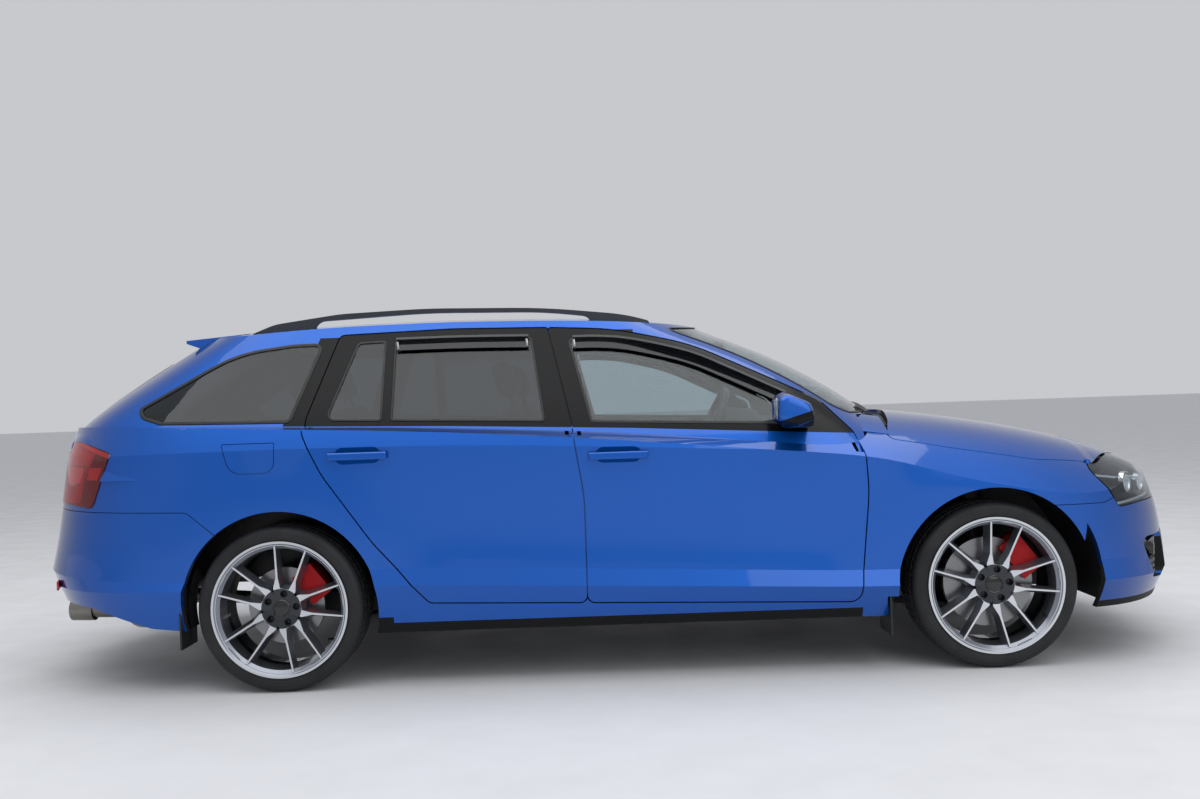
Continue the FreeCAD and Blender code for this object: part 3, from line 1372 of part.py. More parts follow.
def make_subframe():
    """Front cross member with its lower arms, legs up to the rails and the steering rack."""
    (low_x, low_z), (high_x, high_z) = cross_member_low, cross_member_high
    cross = box(front_axle_x + low_x, front_axle_x + high_x, -cross_member_y, 0.0, axle_height + low_z,
                axle_height + high_z)
    end_y = -kingpin_low_y + lower_arm_end_in
    arm = top_prism([(front_axle_x - lower_arm_half, end_y, lower_arm_corner),
                     (front_axle_x + lower_arm_half, end_y, lower_arm_corner),
                     (front_axle_x + lower_arm_ahead, -lower_arm_root_y, 0),
                     (front_axle_x - lower_arm_behind, -lower_arm_root_y, 0)],
                    kingpin_low_z - lower_arm_below, kingpin_low_z + lower_arm_above)
    leg = box(front_axle_x - leg_behind[0], front_axle_x - leg_behind[1], -leg_y[0], -leg_y[1],
              axle_height + low_z, floor_height)
    rack_x, rack_z = front_axle_x - rack_behind, axle_height - rack_drop
    rack = rod(Vector(rack_x, -rack_half, rack_z), Vector(rack_x, 0, rack_z), rack_radius)
    return whole(joined(cross, arm, leg, rack))


def pipe_run(shares, radius):
    """Straight pipes in the middle plane through points of (share of half length, share of height)."""
    points = [Vector(x * half_length, 0, z * height) for x, z in shares]
    return [rod(start, end, radius) for start, end in zip(points, points[1:])]


def make_exhaust():
    """Pipe under the tunnel, two silencers, two tail pipes and the hangers of the rear silencer."""
    silencer = drum(silencer_radius, -silencer_length / 2, silencer_length / 2)
    pieces = [moved(silencer, -silencer_x, 0, silencer_height)]
    pieces += pipe_run(pipe_shares, pipe_radius) + pipe_run(front_silencer_shares, front_silencer_radius)
    for side in (-1, 1):
        start = Vector(-silencer_x, side * tail_pipe_y, silencer_height)
        pieces.append(rod(start, start + Vector(-tail_pipe_length, 0, tail_pipe_rise), tail_pipe_radius))
        foot = Vector(-silencer_x, side * hanger_y, silencer_height + hanger_foot)
        well_under = load_floor_height - load_well_depth - sheet
        pieces.append(rod(foot, Vector(foot.x, foot.y, well_under), hanger_radius))
    return joined(*pieces)


def make_engine():
    """Engine and gearbox as one block, on a mount bar between the long rails."""
    block = softened(box_by_shares(*engine_shares), soft_edge)
    (low_x, low_z), (high_x, high_z) = engine_mount_shares
    mount = box(low_x * half_length, high_x * half_length, -rail_inner_y + tiny, rail_inner_y - tiny,
                low_z * height, high_z * height)
    return joined(block, mount)


def make_seat(x, y, base, width):
    """Cushion and leaning back of a seat, as soft solids."""
    rear_x = x - seat_depth / 2
    cushion = box(rear_x, x + seat_depth / 2, y - width / 2, y + width / 2, base - cushion_thickness, base)
    back = box(rear_x - back_thickness, rear_x, y - width / 2, y + width / 2, base - cushion_thickness / 2,
               base + back_height)
    back = turned(softened(back, soft_edge), -back_lean, Vector(rear_x, y, base))
    return [softened(cushion, soft_edge), back]


def make_headrest(x, y, base):
    rear_x, top = x - seat_depth / 2, base + back_height
    middle = rear_x - back_thickness / 2
    low = top + headrest_gap
    rest = box(middle - headrest_thickness / 2, middle + headrest_thickness / 2,
               y - headrest_width / 2, y + headrest_width / 2, low, low + headrest_height)
    stays = []
    for stay in (y - stay_y, y + stay_y):
        low_end, high_end = Vector(middle, stay, top - stay_sunk), Vector(middle, stay, top + stay_out)
        stays.append(rod(low_end, high_end, stay_radius))
    return turned(joined(softened(rest, soft_edge), *stays), -back_lean, Vector(rear_x, y, base))


def make_front_seat():
    half = seat_depth / 2 - seat_foot_inset
    foot = box(front_seat_x - half, front_seat_x + half, -front_seat_y - seat_foot_width / 2,
               -front_seat_y + seat_foot_width / 2, floor_height + floor_thickness,
               front_seat_base - cushion_thickness + seat_foot_sunk)
    pieces = make_seat(front_seat_x, -front_seat_y, front_seat_base, seat_width)
    return joined(*pieces, make_headrest(front_seat_x, -front_seat_y, front_seat_base), foot)


def make_rear_seat():
    pieces = make_seat(-rear_seat_x, 0.0, rear_seat_base, rear_seat_width)
    rests = [make_headrest(-rear_seat_x, side * rear_headrest_y, rear_seat_base) for side in (-1, 1)]
    return joined(*pieces, *rests)


def make_dashboard():
    """Dashboard and centre console, with the steering column's bearing."""
    side_y = dashboard_share * half_width
    board = side_prism(side_points(dashboard_shares), -side_y, side_y)
    console_y = tunnel_width / 2 - console_clear
    console = side_prism(side_points(console_shares), -console_y, console_y)
    console = console.cut(
        box(-half_length, half_length, -half_width, half_width, 0.0, floor_height + tunnel_height))
    board = largest(board.fuse(console).removeSplitter())
    mouth = Part.makeCylinder(column_radius + shut_gap, column_length + overrun,
                              Vector(0, 0, column_radius - column_length))
    bearing = Part.makeCylinder(column_radius + tiny, column_length, Vector(0, 0, -column_length - shut_gap))
    return cut_all(board, [place_on_column(mouth), place_on_column(bearing)])


def make_steering_wheel():
    pieces = [Part.makeTorus(steering_wheel_radius, steering_grip_radius),
              Part.makeCylinder(steering_boss_radius, steering_boss_depth,
                                Vector(0, 0, steering_boss_out - steering_boss_depth)),
              Part.makeCylinder(column_radius, column_length, Vector(0, 0, -column_length))]
    for number in range(steering_spoke_count):
        spoke = Part.makeBox(*steering_spoke_size, Vector(*steering_spoke_low))
        spoke.rotate(Vector(0, 0, 0), Vector(0, 0, 1), 90.0 * number)
        pieces.append(spoke)
    return place_on_column(joined(*pieces))


def place_on_column(shape):
    """Turn a piece made about the Z axis on to the steering column's axis."""
    shape.rotate(Vector(0, 0, 0), Vector(0, 0, 1), 90.0)
    shape.rotate(Vector(0, 0, 0), Vector(0, 1, 0), steering_tilt - 90.0)
    shape.translate(Vector(*steering_centre))
    return shape


def make_mirror():
    """Right mirror: a tapered shell with a recess for its glass, on a foot that stands on the door."""
    points = [(x * half_length, z * height) for x, z in mirror_shell_shares]
    middle_x = sum(x for x, z in points) / len(points)
    middle_z = sum(z for x, z in points) / len(points)
    wires = []
    for y, share in ((-mirror_inner_y, 1.0), (-mirror_outer_y, mirror_taper_share)):
        ring = [Vector(middle_x + (x - middle_x) * share, y, middle_z + (z - middle_z) * share)
                for x, z in points]
        wires.append(Part.makePolygon(ring + [ring[0]]))
    shell = softened(Part.makeLoft(wires, True, True), mirror_edge)
    low_z, high_z = points[-1][1] + mirror_recess_margin, points[0][1] - mirror_recess_margin
    recess = box(0.0, points[-1][0] + mirror_recess, -mirror_outer_y + 2 * mirror_recess_margin,
                 -mirror_inner_y - mirror_recess_margin, low_z, high_z)
    (foot_low_x, foot_low_z), (foot_high_x, foot_high_z) = mirror_foot_shares
    foot = box(foot_low_x * half_length, foot_high_x * half_length, -mirror_inner_y - mirror_foot_out,
               -mirror_inner_y + mirror_foot_in, foot_low_z * height, foot_high_z * height)
    foot = softened(foot, mirror_foot_edge)
    return largest(joined(shell, foot).cut(recess).cut(skins.union_at(0.0, 0.0)))


def make_rail():
    """Right roof rail on its feet, curved along the roof."""
    rail = side_prism(side_points(rail_top_shares), -rail_y, -rail_y + roof_rail_width)
    return largest(cut_all(rail, [side_prism(side_points(rail_gap_shares), right_y, 0.0), skins.roof_at(0.0)]))


def make_flap(behind, outer, heights, tools):
    """Mud flap behind one right wheel, cut to fit the pieces around it."""
    axle_x, away = behind
    flap = box(axle_x - away, axle_x - away + flap_thickness, -half_width + outer,
               -half_width + flap_inner, *heights)
    return largest(cut_all(flap, tools))


def make_wiper(points):
    layer = upper_wall(-wiper_height).common(end_prism(end_points(points), 0.0, half_length))
    return largest(layer.cut(upper_wall(glass_drop - tiny)))


# Wheels, running gear and engine
tyre = tyre_shape()
for end, axle_x, track, disc in (("front", front_axle_x, front_track, disc_radius),
                                 ("rear", rear_axle_x, rear_track, rear_disc_radius)):
    keep_right_and_left("tyre_" + end, moved(tyre, axle_x, -track / 2, axle_height))
    keep_right_and_left("rim_" + end, moved(rim_shape(disc), axle_x, -track / 2, axle_height))
keep_right_and_left("knuckle", make_knuckle())
keep("rear_axle", make_rear_axle())
keep("front_subframe", make_subframe())
keep("exhaust", make_exhaust())
keep("engine_block", make_engine())

# Cabin
keep_pair("front_seats", make_front_seat())
keep("rear_seat", make_rear_seat())
keep("dashboard", make_dashboard())
keep("steering_wheel", make_steering_wheel())

# Body
front_structure = make_front_structure()
right_side = make_body_side()
right_wing = make_wing()
rear_bumper = make_rear_bumper()
keep("front_structure", front_structure)
keep("scuttle", make_scuttle(front_structure))
keep("floor_pan", make_floor())
keep_pair("body_sides", right_side)
keep("roof_panel", make_roof())
keep_pair("front_wings", right_wing)
keep("front_bumper", make_front_bumper())
keep("front_grille", make_grille())
keep("rear_bumper", rear_bumper)
keep("windscreen", make_windscreen())
keep_pair("quarter_windows", side_glass(quarter_window_shares))

# Doors and lids
keep("bonnet", make_bonnet())
keep("tailgate", make_tailgate())
keep("tailgate_glass", make_tailgate_glass())
keep_pair("tailgate_lamps", make_inner_lamp())
keep("fuel_flap", make_fuel_flap())
keep_right_and_left("door_front", door(front_door_shares, [front_window_shares], front_handle_shares))
keep_right_and_left("door_rear", door(rear_door_shares, [rear_window_shares, rear_light_shares],
                                      rear_handle_shares))
keep_right_and_left("door_glass_front", side_glass(front_window_shares))
keep_right_and_left("door_glass_rear", Part.makeCompound([side_glass(rear_window_shares),
                                                          side_glass(rear_light_shares)]))

# Lamps and outer fittings
keep_pair("headlamps", make_headlamp())
keep_pair("tail_lamps", make_tail_lamp())
keep_pair("roof_rails", make_rail())
keep_right_and_left("mirror", make_mirror())
keep("wipers", Part.makeCompound([make_wiper(right_wiper_shares), mirrored(make_wiper(left_wiper_shares))]))
front_flap = make_flap((front_axle_x, front_flap_behind), front_flap_outer, front_flap_heights,
                       [right_wing, front_structure, right_side])
rear_flap = make_flap((rear_axle_x, rear_flap_behind), rear_flap_outer, rear_flap_heights,
                      [rear_bumper, right_side])
keep("mud_flaps", both(Part.makeCompound([front_flap, rear_flap])))
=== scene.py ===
"""Looks of a compact station wagon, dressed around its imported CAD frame."""

import logging
import math
from collections.abc import Callable
from dataclasses import dataclass
from enum import Enum
from typing import ClassVar

import bmesh
import bpy
from bmesh.types import BMEdge, BMesh, BMFace, BMVert
from bpy.types import Mesh, Node, NodeSocket, NodeTree, Object
from mathutils import Matrix, Vector
from mathutils.bvhtree import BVHTree


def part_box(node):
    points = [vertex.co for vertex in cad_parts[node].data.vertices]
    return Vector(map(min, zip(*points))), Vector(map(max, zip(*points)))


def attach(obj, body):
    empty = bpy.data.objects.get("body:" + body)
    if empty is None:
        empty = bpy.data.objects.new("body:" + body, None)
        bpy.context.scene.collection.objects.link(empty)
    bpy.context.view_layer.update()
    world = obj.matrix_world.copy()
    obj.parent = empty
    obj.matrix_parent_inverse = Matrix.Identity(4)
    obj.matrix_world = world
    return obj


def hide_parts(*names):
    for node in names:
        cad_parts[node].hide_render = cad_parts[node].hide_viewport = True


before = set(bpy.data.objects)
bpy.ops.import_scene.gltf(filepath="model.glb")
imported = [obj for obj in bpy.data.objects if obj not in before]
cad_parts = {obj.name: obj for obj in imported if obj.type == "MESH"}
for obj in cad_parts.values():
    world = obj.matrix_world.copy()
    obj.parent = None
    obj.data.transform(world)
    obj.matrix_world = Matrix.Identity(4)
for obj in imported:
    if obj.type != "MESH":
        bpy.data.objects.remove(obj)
log = logging.getLogger("station_wagon")

MM = 0.001
Pair = tuple[float, float]
Outline = tuple[Pair, ...]
Triple = tuple[float, float, float]
Point = Triple | Vector
Area = tuple[Pair, Pair]
Plane = tuple[Triple, float]
Zones = tuple[tuple[Plane, ...], ...]
Inputs = dict[object, object]

FORWARD, BACKWARD = (1.0, 0.0, 0.0), (-1.0, 0.0, 0.0)
OUTWARD, INWARD = (0.0, 1.0, 0.0), (0.0, -1.0, 0.0)
UP, DOWN = (0.0, 0.0, 1.0), (0.0, 0.0, -1.0)
# Distance from the middle at which a ray towards the nose or tail starts, clear of the car
REACH = 2.8
# Metres between two crests of Blender's wave texture at a scale of one
WAVE_REPEAT = math.tau / 20


class Side(Enum):
    """Side of the car, as the sign of Y."""

    RIGHT = -1
    LEFT = 1

    @property
    def label(self) -> str:
        """Name of the side as the nodes spell it."""
        return self.name.lower()


class End(Enum):
    """End of the car that a wheel is on."""

    FRONT = "front"
    REAR = "rear"


def linear(code: str) -> tuple[float, float, float, float]:
    """Turns an sRGB hex value into a linear colour.

    Args:
        code: Six hex digits after a hash sign.

    Returns:
        Red, green, blue and an alpha of one.
    """
    parts = [int(code[i:i + 2], 16) / 255 for i in (1, 3, 5)]
    curve = [p / 12.92 if p <= 0.04045 else ((p + 0.055) / 1.055) ** 2.4 for p in parts]
    return (curve[0], curve[1], curve[2], 1.0)


def add(tree: NodeTree, kind: str, inputs: Inputs | None = None,
        **settings: object) -> Node:
    """Adds a node with its settings, values and links.

    Args:
        tree: Node tree that gets the node.
        kind: Blender's name of the node type.
        inputs: Values or output sockets, by input name or number.
        settings: Properties of the node itself.

    Returns:
        The new node.
    """
    node = tree.nodes.new(kind)
    for name, value in settings.items():
        setattr(node, name, value)
    for name, value in (inputs or {}).items():
        if isinstance(value, NodeSocket):
            tree.links.new(value, node.inputs[name])
        else:
            node.inputs[name].default_value = value
    return node


def even_place(tree: NodeTree, place: NodeSocket) -> NodeSocket:
    """Folds object coordinates on to the left side, so that one mask serves both sides.

    Args:
        tree: Material's node tree.
        place: Object coordinates.

    Returns:
        The coordinates with Y made positive.
    """
    parts = add(tree, "ShaderNodeSeparateXYZ", {0: place})
    out = add(tree, "ShaderNodeMath", {0: parts.outputs["Y"]}, operation="ABSOLUTE")
    return add(tree, "ShaderNodeCombineXYZ", {
        "X": parts.outputs["X"], "Y": out.outputs[0], "Z": parts.outputs["Z"]}).outputs[0]


def zone_mask(tree: NodeTree, place: NodeSocket, zones: Zones) -> NodeSocket:
    """Gives one inside any of some convex zones.

    Args:
        tree: Material's node tree.
        place: Coordinates in metres.
        zones: Each zone as planes (normal, offset) that its points lie beyond.

    Returns:
        The mask.
    """
    total = None
    for planes in zones:
        inside = None
        for normal, offset in planes:
            reach = add(tree, "ShaderNodeVectorMath", {0: place, 1: normal}, operation="DOT_PRODUCT")
            beyond = add(tree, "ShaderNodeMath", {0: reach.outputs["Value"], 1: offset},
                         operation="GREATER_THAN")
            inside = beyond.outputs[0] if inside is None else add(
                tree, "ShaderNodeMath", {0: inside, 1: beyond.outputs[0]}, operation="MULTIPLY").outputs[0]
        total = inside if total is None else add(
            tree, "ShaderNodeMath", {0: total, 1: inside}, operation="MAXIMUM").outputs[0]
    return total


@dataclass(frozen=True)
class Finish:
    """One surface finish: the values on its shader's own sockets, and a pattern that a subclass adds."""

    name: str
    colour: str
    roughness: float
    metallic: float = 0.0
    settings: tuple[tuple[str, float], ...] = ()

    def material(self) -> bpy.types.Material:
        """Builds the material once and gives it back each time.

        Returns:
            The node material of this finish.
        """
        found = bpy.data.materials.get(self.name)
        if found:
            return found
        made = bpy.data.materials.new(self.name)
        made.use_nodes = True
        tree = made.node_tree
        shader = tree.nodes["Principled BSDF"]
        shader.inputs["Base Color"].default_value = linear(self.colour)
        shader.inputs["Roughness"].default_value = self.roughness
        shader.inputs["Metallic"].default_value = self.metallic
        for name, value in self.settings:
            shader.inputs[name].default_value = value
        place = add(tree, "ShaderNodeTexCoord")
        self.pattern(tree, shader, place)
        return made

    def pattern(self, tree: NodeTree, shader: Node, place: Node) -> None:
        """Adds what changes over the surface; a plain finish has nothing to add.

        Args:
            tree: The material's node tree.
            shader: Its Principled shader.
            place: Texture coordinates of the piece.
        """


@dataclass(frozen=True)
class Grained(Finish):
    """Finish with a fine grain in height and roughness, and another colour in some zones."""

    grain_mm: float = 1.0
    relief: float = 0.1
    patch: float = 0.08
    zones: Zones = ()
    zone_colour: str = "#000000"
    broad_grains: float = 60.0
    broad_range: Pair = (0.3, 0.7)
    shade_share: float = 0.82

    def pattern(self, tree: NodeTree, shader: Node, place: Node) -> None:
        """Adds a noise whose grains are grain_mm across, broad clouds of shade and the zones' colour."""
        where = place.outputs["Object"]
        grain = add(tree, "ShaderNodeTexNoise", {
            "Vector": where, "Scale": 1 / (self.grain_mm * MM), "Detail": 3.0})
        broad = add(tree, "ShaderNodeTexNoise", {
            "Vector": where, "Scale": 1 / (self.broad_grains * self.grain_mm * MM)})
        rough = add(tree, "ShaderNodeMapRange", {
            "Value": broad.outputs["Fac"], "From Min": self.broad_range[0], "From Max": self.broad_range[1],
            "To Min": max(0.0, self.roughness - self.patch), "To Max": min(1.0, self.roughness + self.patch)})
        tree.links.new(rough.outputs["Result"], shader.inputs["Roughness"])
        bump = add(tree, "ShaderNodeBump", {
            "Height": grain.outputs["Fac"], "Strength": self.relief, "Distance": self.grain_mm * MM})
        tree.links.new(bump.outputs["Normal"], shader.inputs["Normal"])
        pale = linear(self.colour)
        dark = (*(c * self.shade_share for c in pale[:3]), 1.0)
        shade = add(tree, "ShaderNodeMix", {"Factor": broad.outputs["Fac"], 6: pale, 7: dark},
                    data_type="RGBA")
        colour = shade.outputs[2]
        if self.zones:
            mask = zone_mask(tree, even_place(tree, where), self.zones)
            colour = add(tree, "ShaderNodeMix", {
                "Factor": mask, 6: colour, 7: linear(self.zone_colour)}, data_type="RGBA").outputs[2]
        tree.links.new(colour, shader.inputs["Base Color"])


@dataclass(frozen=True)
class PanelPaint(Finish):
    """Metallic base coat under a clear coat, black in some zones, with lining on the cabin's side."""

    turned: str = "#012564"
    flop: float = 0.35
    flake_mm: float = 1.4
    flake_rough: Pair = (-0.05, 0.07)
    zones: Zones = ()
    zone_colour: str = "#08090b"
    zone_rough: float = 0.22
    lining: str = "#26272a"
    lining_rough: float = 0.85
    middle: Triple = (0.0, 0.0, 0.75)
    outwards: Triple = (0.15, 1.0, 1.0)
    cabin_side: float = -0.22

    def pattern(self, tree: NodeTree, shader: Node, place: Node) -> None:
        """Adds flakes, drawn coarser than the real 0.05 mm so that they show, the flop and the masks."""
        where = place.outputs["Object"]
        flake = add(tree, "ShaderNodeTexVoronoi", {"Vector": where, "Scale": 1 / (self.flake_mm * MM)})
        facing = add(tree, "ShaderNodeLayerWeight", {"Blend": self.flop})
        turning = add(tree, "ShaderNodeMix", {
            "Factor": facing.outputs["Facing"], 6: linear(self.colour), 7: linear(self.turned)},
            data_type="RGBA")
        rough = add(tree, "ShaderNodeMapRange", {
            "Value": flake.outputs["Color"], "From Min": 0.0, "From Max": 1.0,
            "To Min": self.roughness + self.flake_rough[0],
            "To Max": self.roughness + self.flake_rough[1]}).outputs["Result"]
        colour = turning.outputs[2]
        cover = None
        if self.zones:
            cover = zone_mask(tree, even_place(tree, where), self.zones)
            colour = add(tree, "ShaderNodeMix", {
                "Factor": cover, 6: colour, 7: linear(self.zone_colour)}, data_type="RGBA").outputs[2]
            rough = add(tree, "ShaderNodeMix", {"Factor": cover, 2: rough, 3: self.zone_rough}).outputs[0]
        inside = self.lined(tree, place)
        colour = add(tree, "ShaderNodeMix", {
            "Factor": inside, 6: colour, 7: linear(self.lining)}, data_type="RGBA").outputs[2]
        rough = add(tree, "ShaderNodeMix", {"Factor": inside, 2: rough, 3: self.lining_rough}).outputs[0]
        dull = inside if cover is None else add(
            tree, "ShaderNodeMath", {0: inside, 1: cover}, operation="MAXIMUM").outputs[0]
        metal = add(tree, "ShaderNodeMapRange", {"Value": dull, "To Min": self.metallic, "To Max": 0.0})
        coat = add(tree, "ShaderNodeMapRange", {"Value": dull, "To Min": 1.0, "To Max": 0.0})
        tree.links.new(colour, shader.inputs["Base Color"])
        tree.links.new(rough, shader.inputs["Roughness"])
        tree.links.new(metal.outputs["Result"], shader.inputs["Metallic"])
        tree.links.new(coat.outputs["Result"], shader.inputs["Coat Weight"])

    def lined(self, tree: NodeTree, place: Node) -> NodeSocket:
        """Gives one where a face looks towards the middle of the cabin.

        Args:
            tree: The material's node tree.
            place: Texture coordinates of the piece.

        Returns:
            The mask.
        """
        centred = add(tree, "ShaderNodeVectorMath", {
            0: place.outputs["Object"], 1: self.middle}, operation="SUBTRACT")
        leaning = add(tree, "ShaderNodeVectorMath", {
            0: centred.outputs[0], 1: self.outwards}, operation="MULTIPLY")
        turn = add(tree, "ShaderNodeVectorMath", {
            0: leaning.outputs[0], 1: place.outputs["Normal"]}, operation="DOT_PRODUCT")
        return add(tree, "ShaderNodeMath", {
            0: turn.outputs["Value"], 1: self.cabin_side}, operation="LESS_THAN").outputs[0]


@dataclass(frozen=True)
class MachinedWheel(Finish):
    """Cast wheel sprayed dark grey, with its outer faces machined bright and a dull iron brake disc; its
    other outer parts are drawn a lighter grey as painted light, which leaves the deeper parts as painted
    shade.
    """

    hub: Triple = (0.0, 0.0, 0.0)
    # Lighter grey of the outer parts beyond the hub: painted light over the dark grey paint
    spoke_colour: str = "#868a93"
    face_colour: str = "#d2d5da"
    disc_colour: str = "#8a8a8c"
    square_to_axle: float = 0.985
    hub_radius: float = 0.075
    disc_radius: float = 0.172
    disc_depth: float = 0.030
    groove_mm: float = 1.5
    groove_depth_mm: float = 0.1
    groove_relief: float = 0.08

    def pattern(self, tree: NodeTree, shader: Node, place: Node) -> None:
        """Adds the bright faces by how squarely they face outwards, the painted light on the other outer
        parts, and the disc by its place.
        """
        even = even_place(tree, place.outputs["Object"])
        from_hub = add(tree, "ShaderNodeVectorMath", {0: even, 1: self.hub}, operation="SUBTRACT")
        flat = add(tree, "ShaderNodeVectorMath", {
            0: from_hub.outputs[0], 1: (1.0, 0.0, 1.0)}, operation="MULTIPLY")
        radius = add(tree, "ShaderNodeVectorMath", {0: flat.outputs[0]}, operation="LENGTH").outputs["Value"]
        turn = add(tree, "ShaderNodeSeparateXYZ", {0: place.outputs["Normal"]})
        square = add(tree, "ShaderNodeMath", {0: turn.outputs["Y"]}, operation="ABSOLUTE")
        facing = add(tree, "ShaderNodeMath", {
            0: square.outputs[0], 1: self.square_to_axle}, operation="GREATER_THAN")
        beyond = add(tree, "ShaderNodeMath", {0: radius, 1: self.hub_radius},
                     operation="GREATER_THAN").outputs[0]
        outer = zone_mask(tree, even, (((OUTWARD, self.hub[1] + self.disc_depth),),))
        bright = add(tree, "ShaderNodeMath", {0: facing.outputs[0], 1: beyond}, operation="MULTIPLY")
        bright = add(tree, "ShaderNodeMath", {0: bright.outputs[0], 1: outer}, operation="MULTIPLY")
        near = add(tree, "ShaderNodeMath", {0: radius, 1: self.disc_radius}, operation="LESS_THAN")
        inner = add(tree, "ShaderNodeMath", {0: 1.0, 1: outer}, operation="SUBTRACT")
        disc = add(tree, "ShaderNodeMath", {0: near.outputs[0], 1: inner.outputs[0]}, operation="MULTIPLY")
        # Painted light: outer parts beyond the hub are lighter than the same paint deeper in the wheel, which
        # stays dark as painted shade
        lit_outer = add(tree, "ShaderNodeMath", {0: outer, 1: beyond}, operation="MULTIPLY")
        colour = linear(self.colour)
        for mask, code in ((lit_outer, self.spoke_colour), (bright, self.face_colour), (disc, self.disc_colour)):
            colour = add(tree, "ShaderNodeMix", {
                "Factor": mask.outputs[0], 6: colour, 7: linear(code)}, data_type="RGBA").outputs[2]
        tree.links.new(colour, shader.inputs["Base Color"])
        rings = add(tree, "ShaderNodeMath", {0: radius, 1: math.tau / (self.groove_mm * MM)},
                    operation="MULTIPLY")
        wave = add(tree, "ShaderNodeMath", {0: rings.outputs[0]}, operation="SINE")
        bump = add(tree, "ShaderNodeBump", {
            "Height": wave.outputs[0], "Strength": self.groove_relief, "Distance": self.groove_depth_mm * MM})
        tree.links.new(bump.outputs["Normal"], shader.inputs["Normal"])


@dataclass(frozen=True)
class Woven(Finish):
    """Flat woven cloth with crossing threads, drawn coarser than the real 1 mm so that they show."""

    thread_mm: float = 3.0
    dark: str = "#0c0c0e"
    unevenness: float = 0.8
    relief: float = 0.35

    def pattern(self, tree: NodeTree, shader: Node, place: Node) -> None:
        """Adds warp and weft as two crossed bands of thread_mm."""
        warp, weft = (add(tree, "ShaderNodeTexWave", {
            "Vector": place.outputs["Object"], "Scale": WAVE_REPEAT / (self.thread_mm * MM),
            "Distortion": self.unevenness, "Detail Scale": 2.0}, bands_direction=axis)
            for axis in ("Y", "DIAGONAL"))
        weave = add(tree, "ShaderNodeMath", {0: warp.outputs["Fac"], 1: weft.outputs["Fac"]},
                    operation="MULTIPLY")
        shade = add(tree, "ShaderNodeMix", {
            "Factor": weave.outputs[0], 6: linear(self.dark), 7: linear(self.colour)}, data_type="RGBA")
        tree.links.new(shade.outputs[2], shader.inputs["Base Color"])
        bump = add(tree, "ShaderNodeBump", {
            "Height": weave.outputs[0], "Strength": self.relief, "Distance": 0.5 * self.thread_mm * MM})
        tree.links.new(bump.outputs["Normal"], shader.inputs["Normal"])


# Above each of these lines a door is a black window frame
BELT_ZONES = ((((0.0296, 0.0, 1.0), 0.9572),), (((0.0436, 0.0, 1.0), 0.9489),),
              (((0.0568, 0.0, 1.0), 0.9502),))
# Black posts beside the side window and between the doors, and black wheel housing; the black along the
# sill's lowest edge is painted shade where the blue sill turns under the car
SIDE_ZONES = (
    (((1.0, 0.0, -0.35), -1.577), ((-1.0, 0.0, 0.35), 1.466), ((0.03, 0.0, 1.0), 0.957), (DOWN, -1.334)),
    ((FORWARD, -1.66), (BACKWARD, 0.82), (INWARD, -0.86), (DOWN, -0.72)),
    ((FORWARD, -0.420), (BACKWARD, -0.120), ((0.03, 0.0, 1.0), 0.955), (DOWN, -1.330)),
    # Painted shade: black below this height, where the blue sill turns under the car
    ((DOWN, -0.243),))
# Black housing of the front wheel
WING_ZONES = (((FORWARD, 1.03), (BACKWARD, -1.70), (INWARD, -0.84), (DOWN, -0.68)),)
# Unpainted lower edges of the bumpers and the black band round the plates
FRONT_ZONES = (((DOWN, -0.232),), ((INWARD, -0.560), (DOWN, -0.462), (UP, 0.292)))
REAR_ZONES = (((DOWN, -0.300), (INWARD, -0.80)), ((INWARD, -0.56), (DOWN, -0.400)))
# Black lower half and foot of a mirror
MIRROR_ZONES = ((((0.30, 0.0, -1.0), -0.765),),)
# Red enamelled claws of the brakes
FRONT_CLAW = ((((0.788, 0.0, 0.616), 1.4215), (OUTWARD, 0.70)),)
REAR_CLAW = ((((0.788, 0.0, 0.616), -0.705), (OUTWARD, 0.70)),)

PAINT = "#0059bb"
COAT = (("Coat Roughness", 0.03), ("Coat IOR", 1.42), ("Specular IOR Level", 0.2))
LINING = "#26272a"


def paint(name: str, zones: Zones = (), lining: str = LINING, zone_rough: float = 0.22) -> PanelPaint:
    """Gives the car's one paint, with a panel's own black zones.

    Args:
        name: What sets this panel's finish apart.
        zones: Where the panel is black.
        lining: Colour of the trim on its cabin side.
        zone_rough: Roughness of the black.

    Returns:
        The panel's finish.
    """
    return PanelPaint(f"blue_metallic_paint_{name}", PAINT, 0.34, 0.6, COAT, zones=zones, lining=lining,
                      zone_rough=zone_rough)


# Sprayed acrylic car paint: a deep saturated blue that brightens where it faces the light
BLUE_PAINT = paint("plain")
ROOF_PAINT = paint("roof", lining="#8b8c8d")
SIDE_PAINT = paint("side", SIDE_ZONES)
WING_PAINT = paint("wing", WING_ZONES, zone_rough=0.6)
DOOR_PAINT = paint("door", BELT_ZONES)
FRONT_PAINT = paint("front_bumper", FRONT_ZONES, zone_rough=0.5)
REAR_PAINT = paint("rear_bumper", REAR_ZONES, zone_rough=0.5)
MIRROR_PAINT = paint("mirror", MIRROR_ZONES, lining="#0a0a0b")

GLASSY = (("Transmission Weight", 1.0), ("IOR", 1.5))
ACRYLIC = (("Transmission Weight", 1.0), ("IOR", 1.49))
LACQUERED = (("Coat Weight", 1.0),)
# Grey-black textured polypropylene: matt, with a fine leather-like grain
BLACK_PLASTIC = Grained("moulded_black_polypropylene", "#17181a", 0.55, grain_mm=0.9, relief=0.25)
# Gloss black acrylic: nearly a mirror, with faint waves of the moulding
GLOSS_BLACK = Grained("gloss_black_acrylic", "#08090a", 0.08, settings=(("Coat Weight", 0.5),),
                      grain_mm=6.0, relief=0.01, patch=0.03)
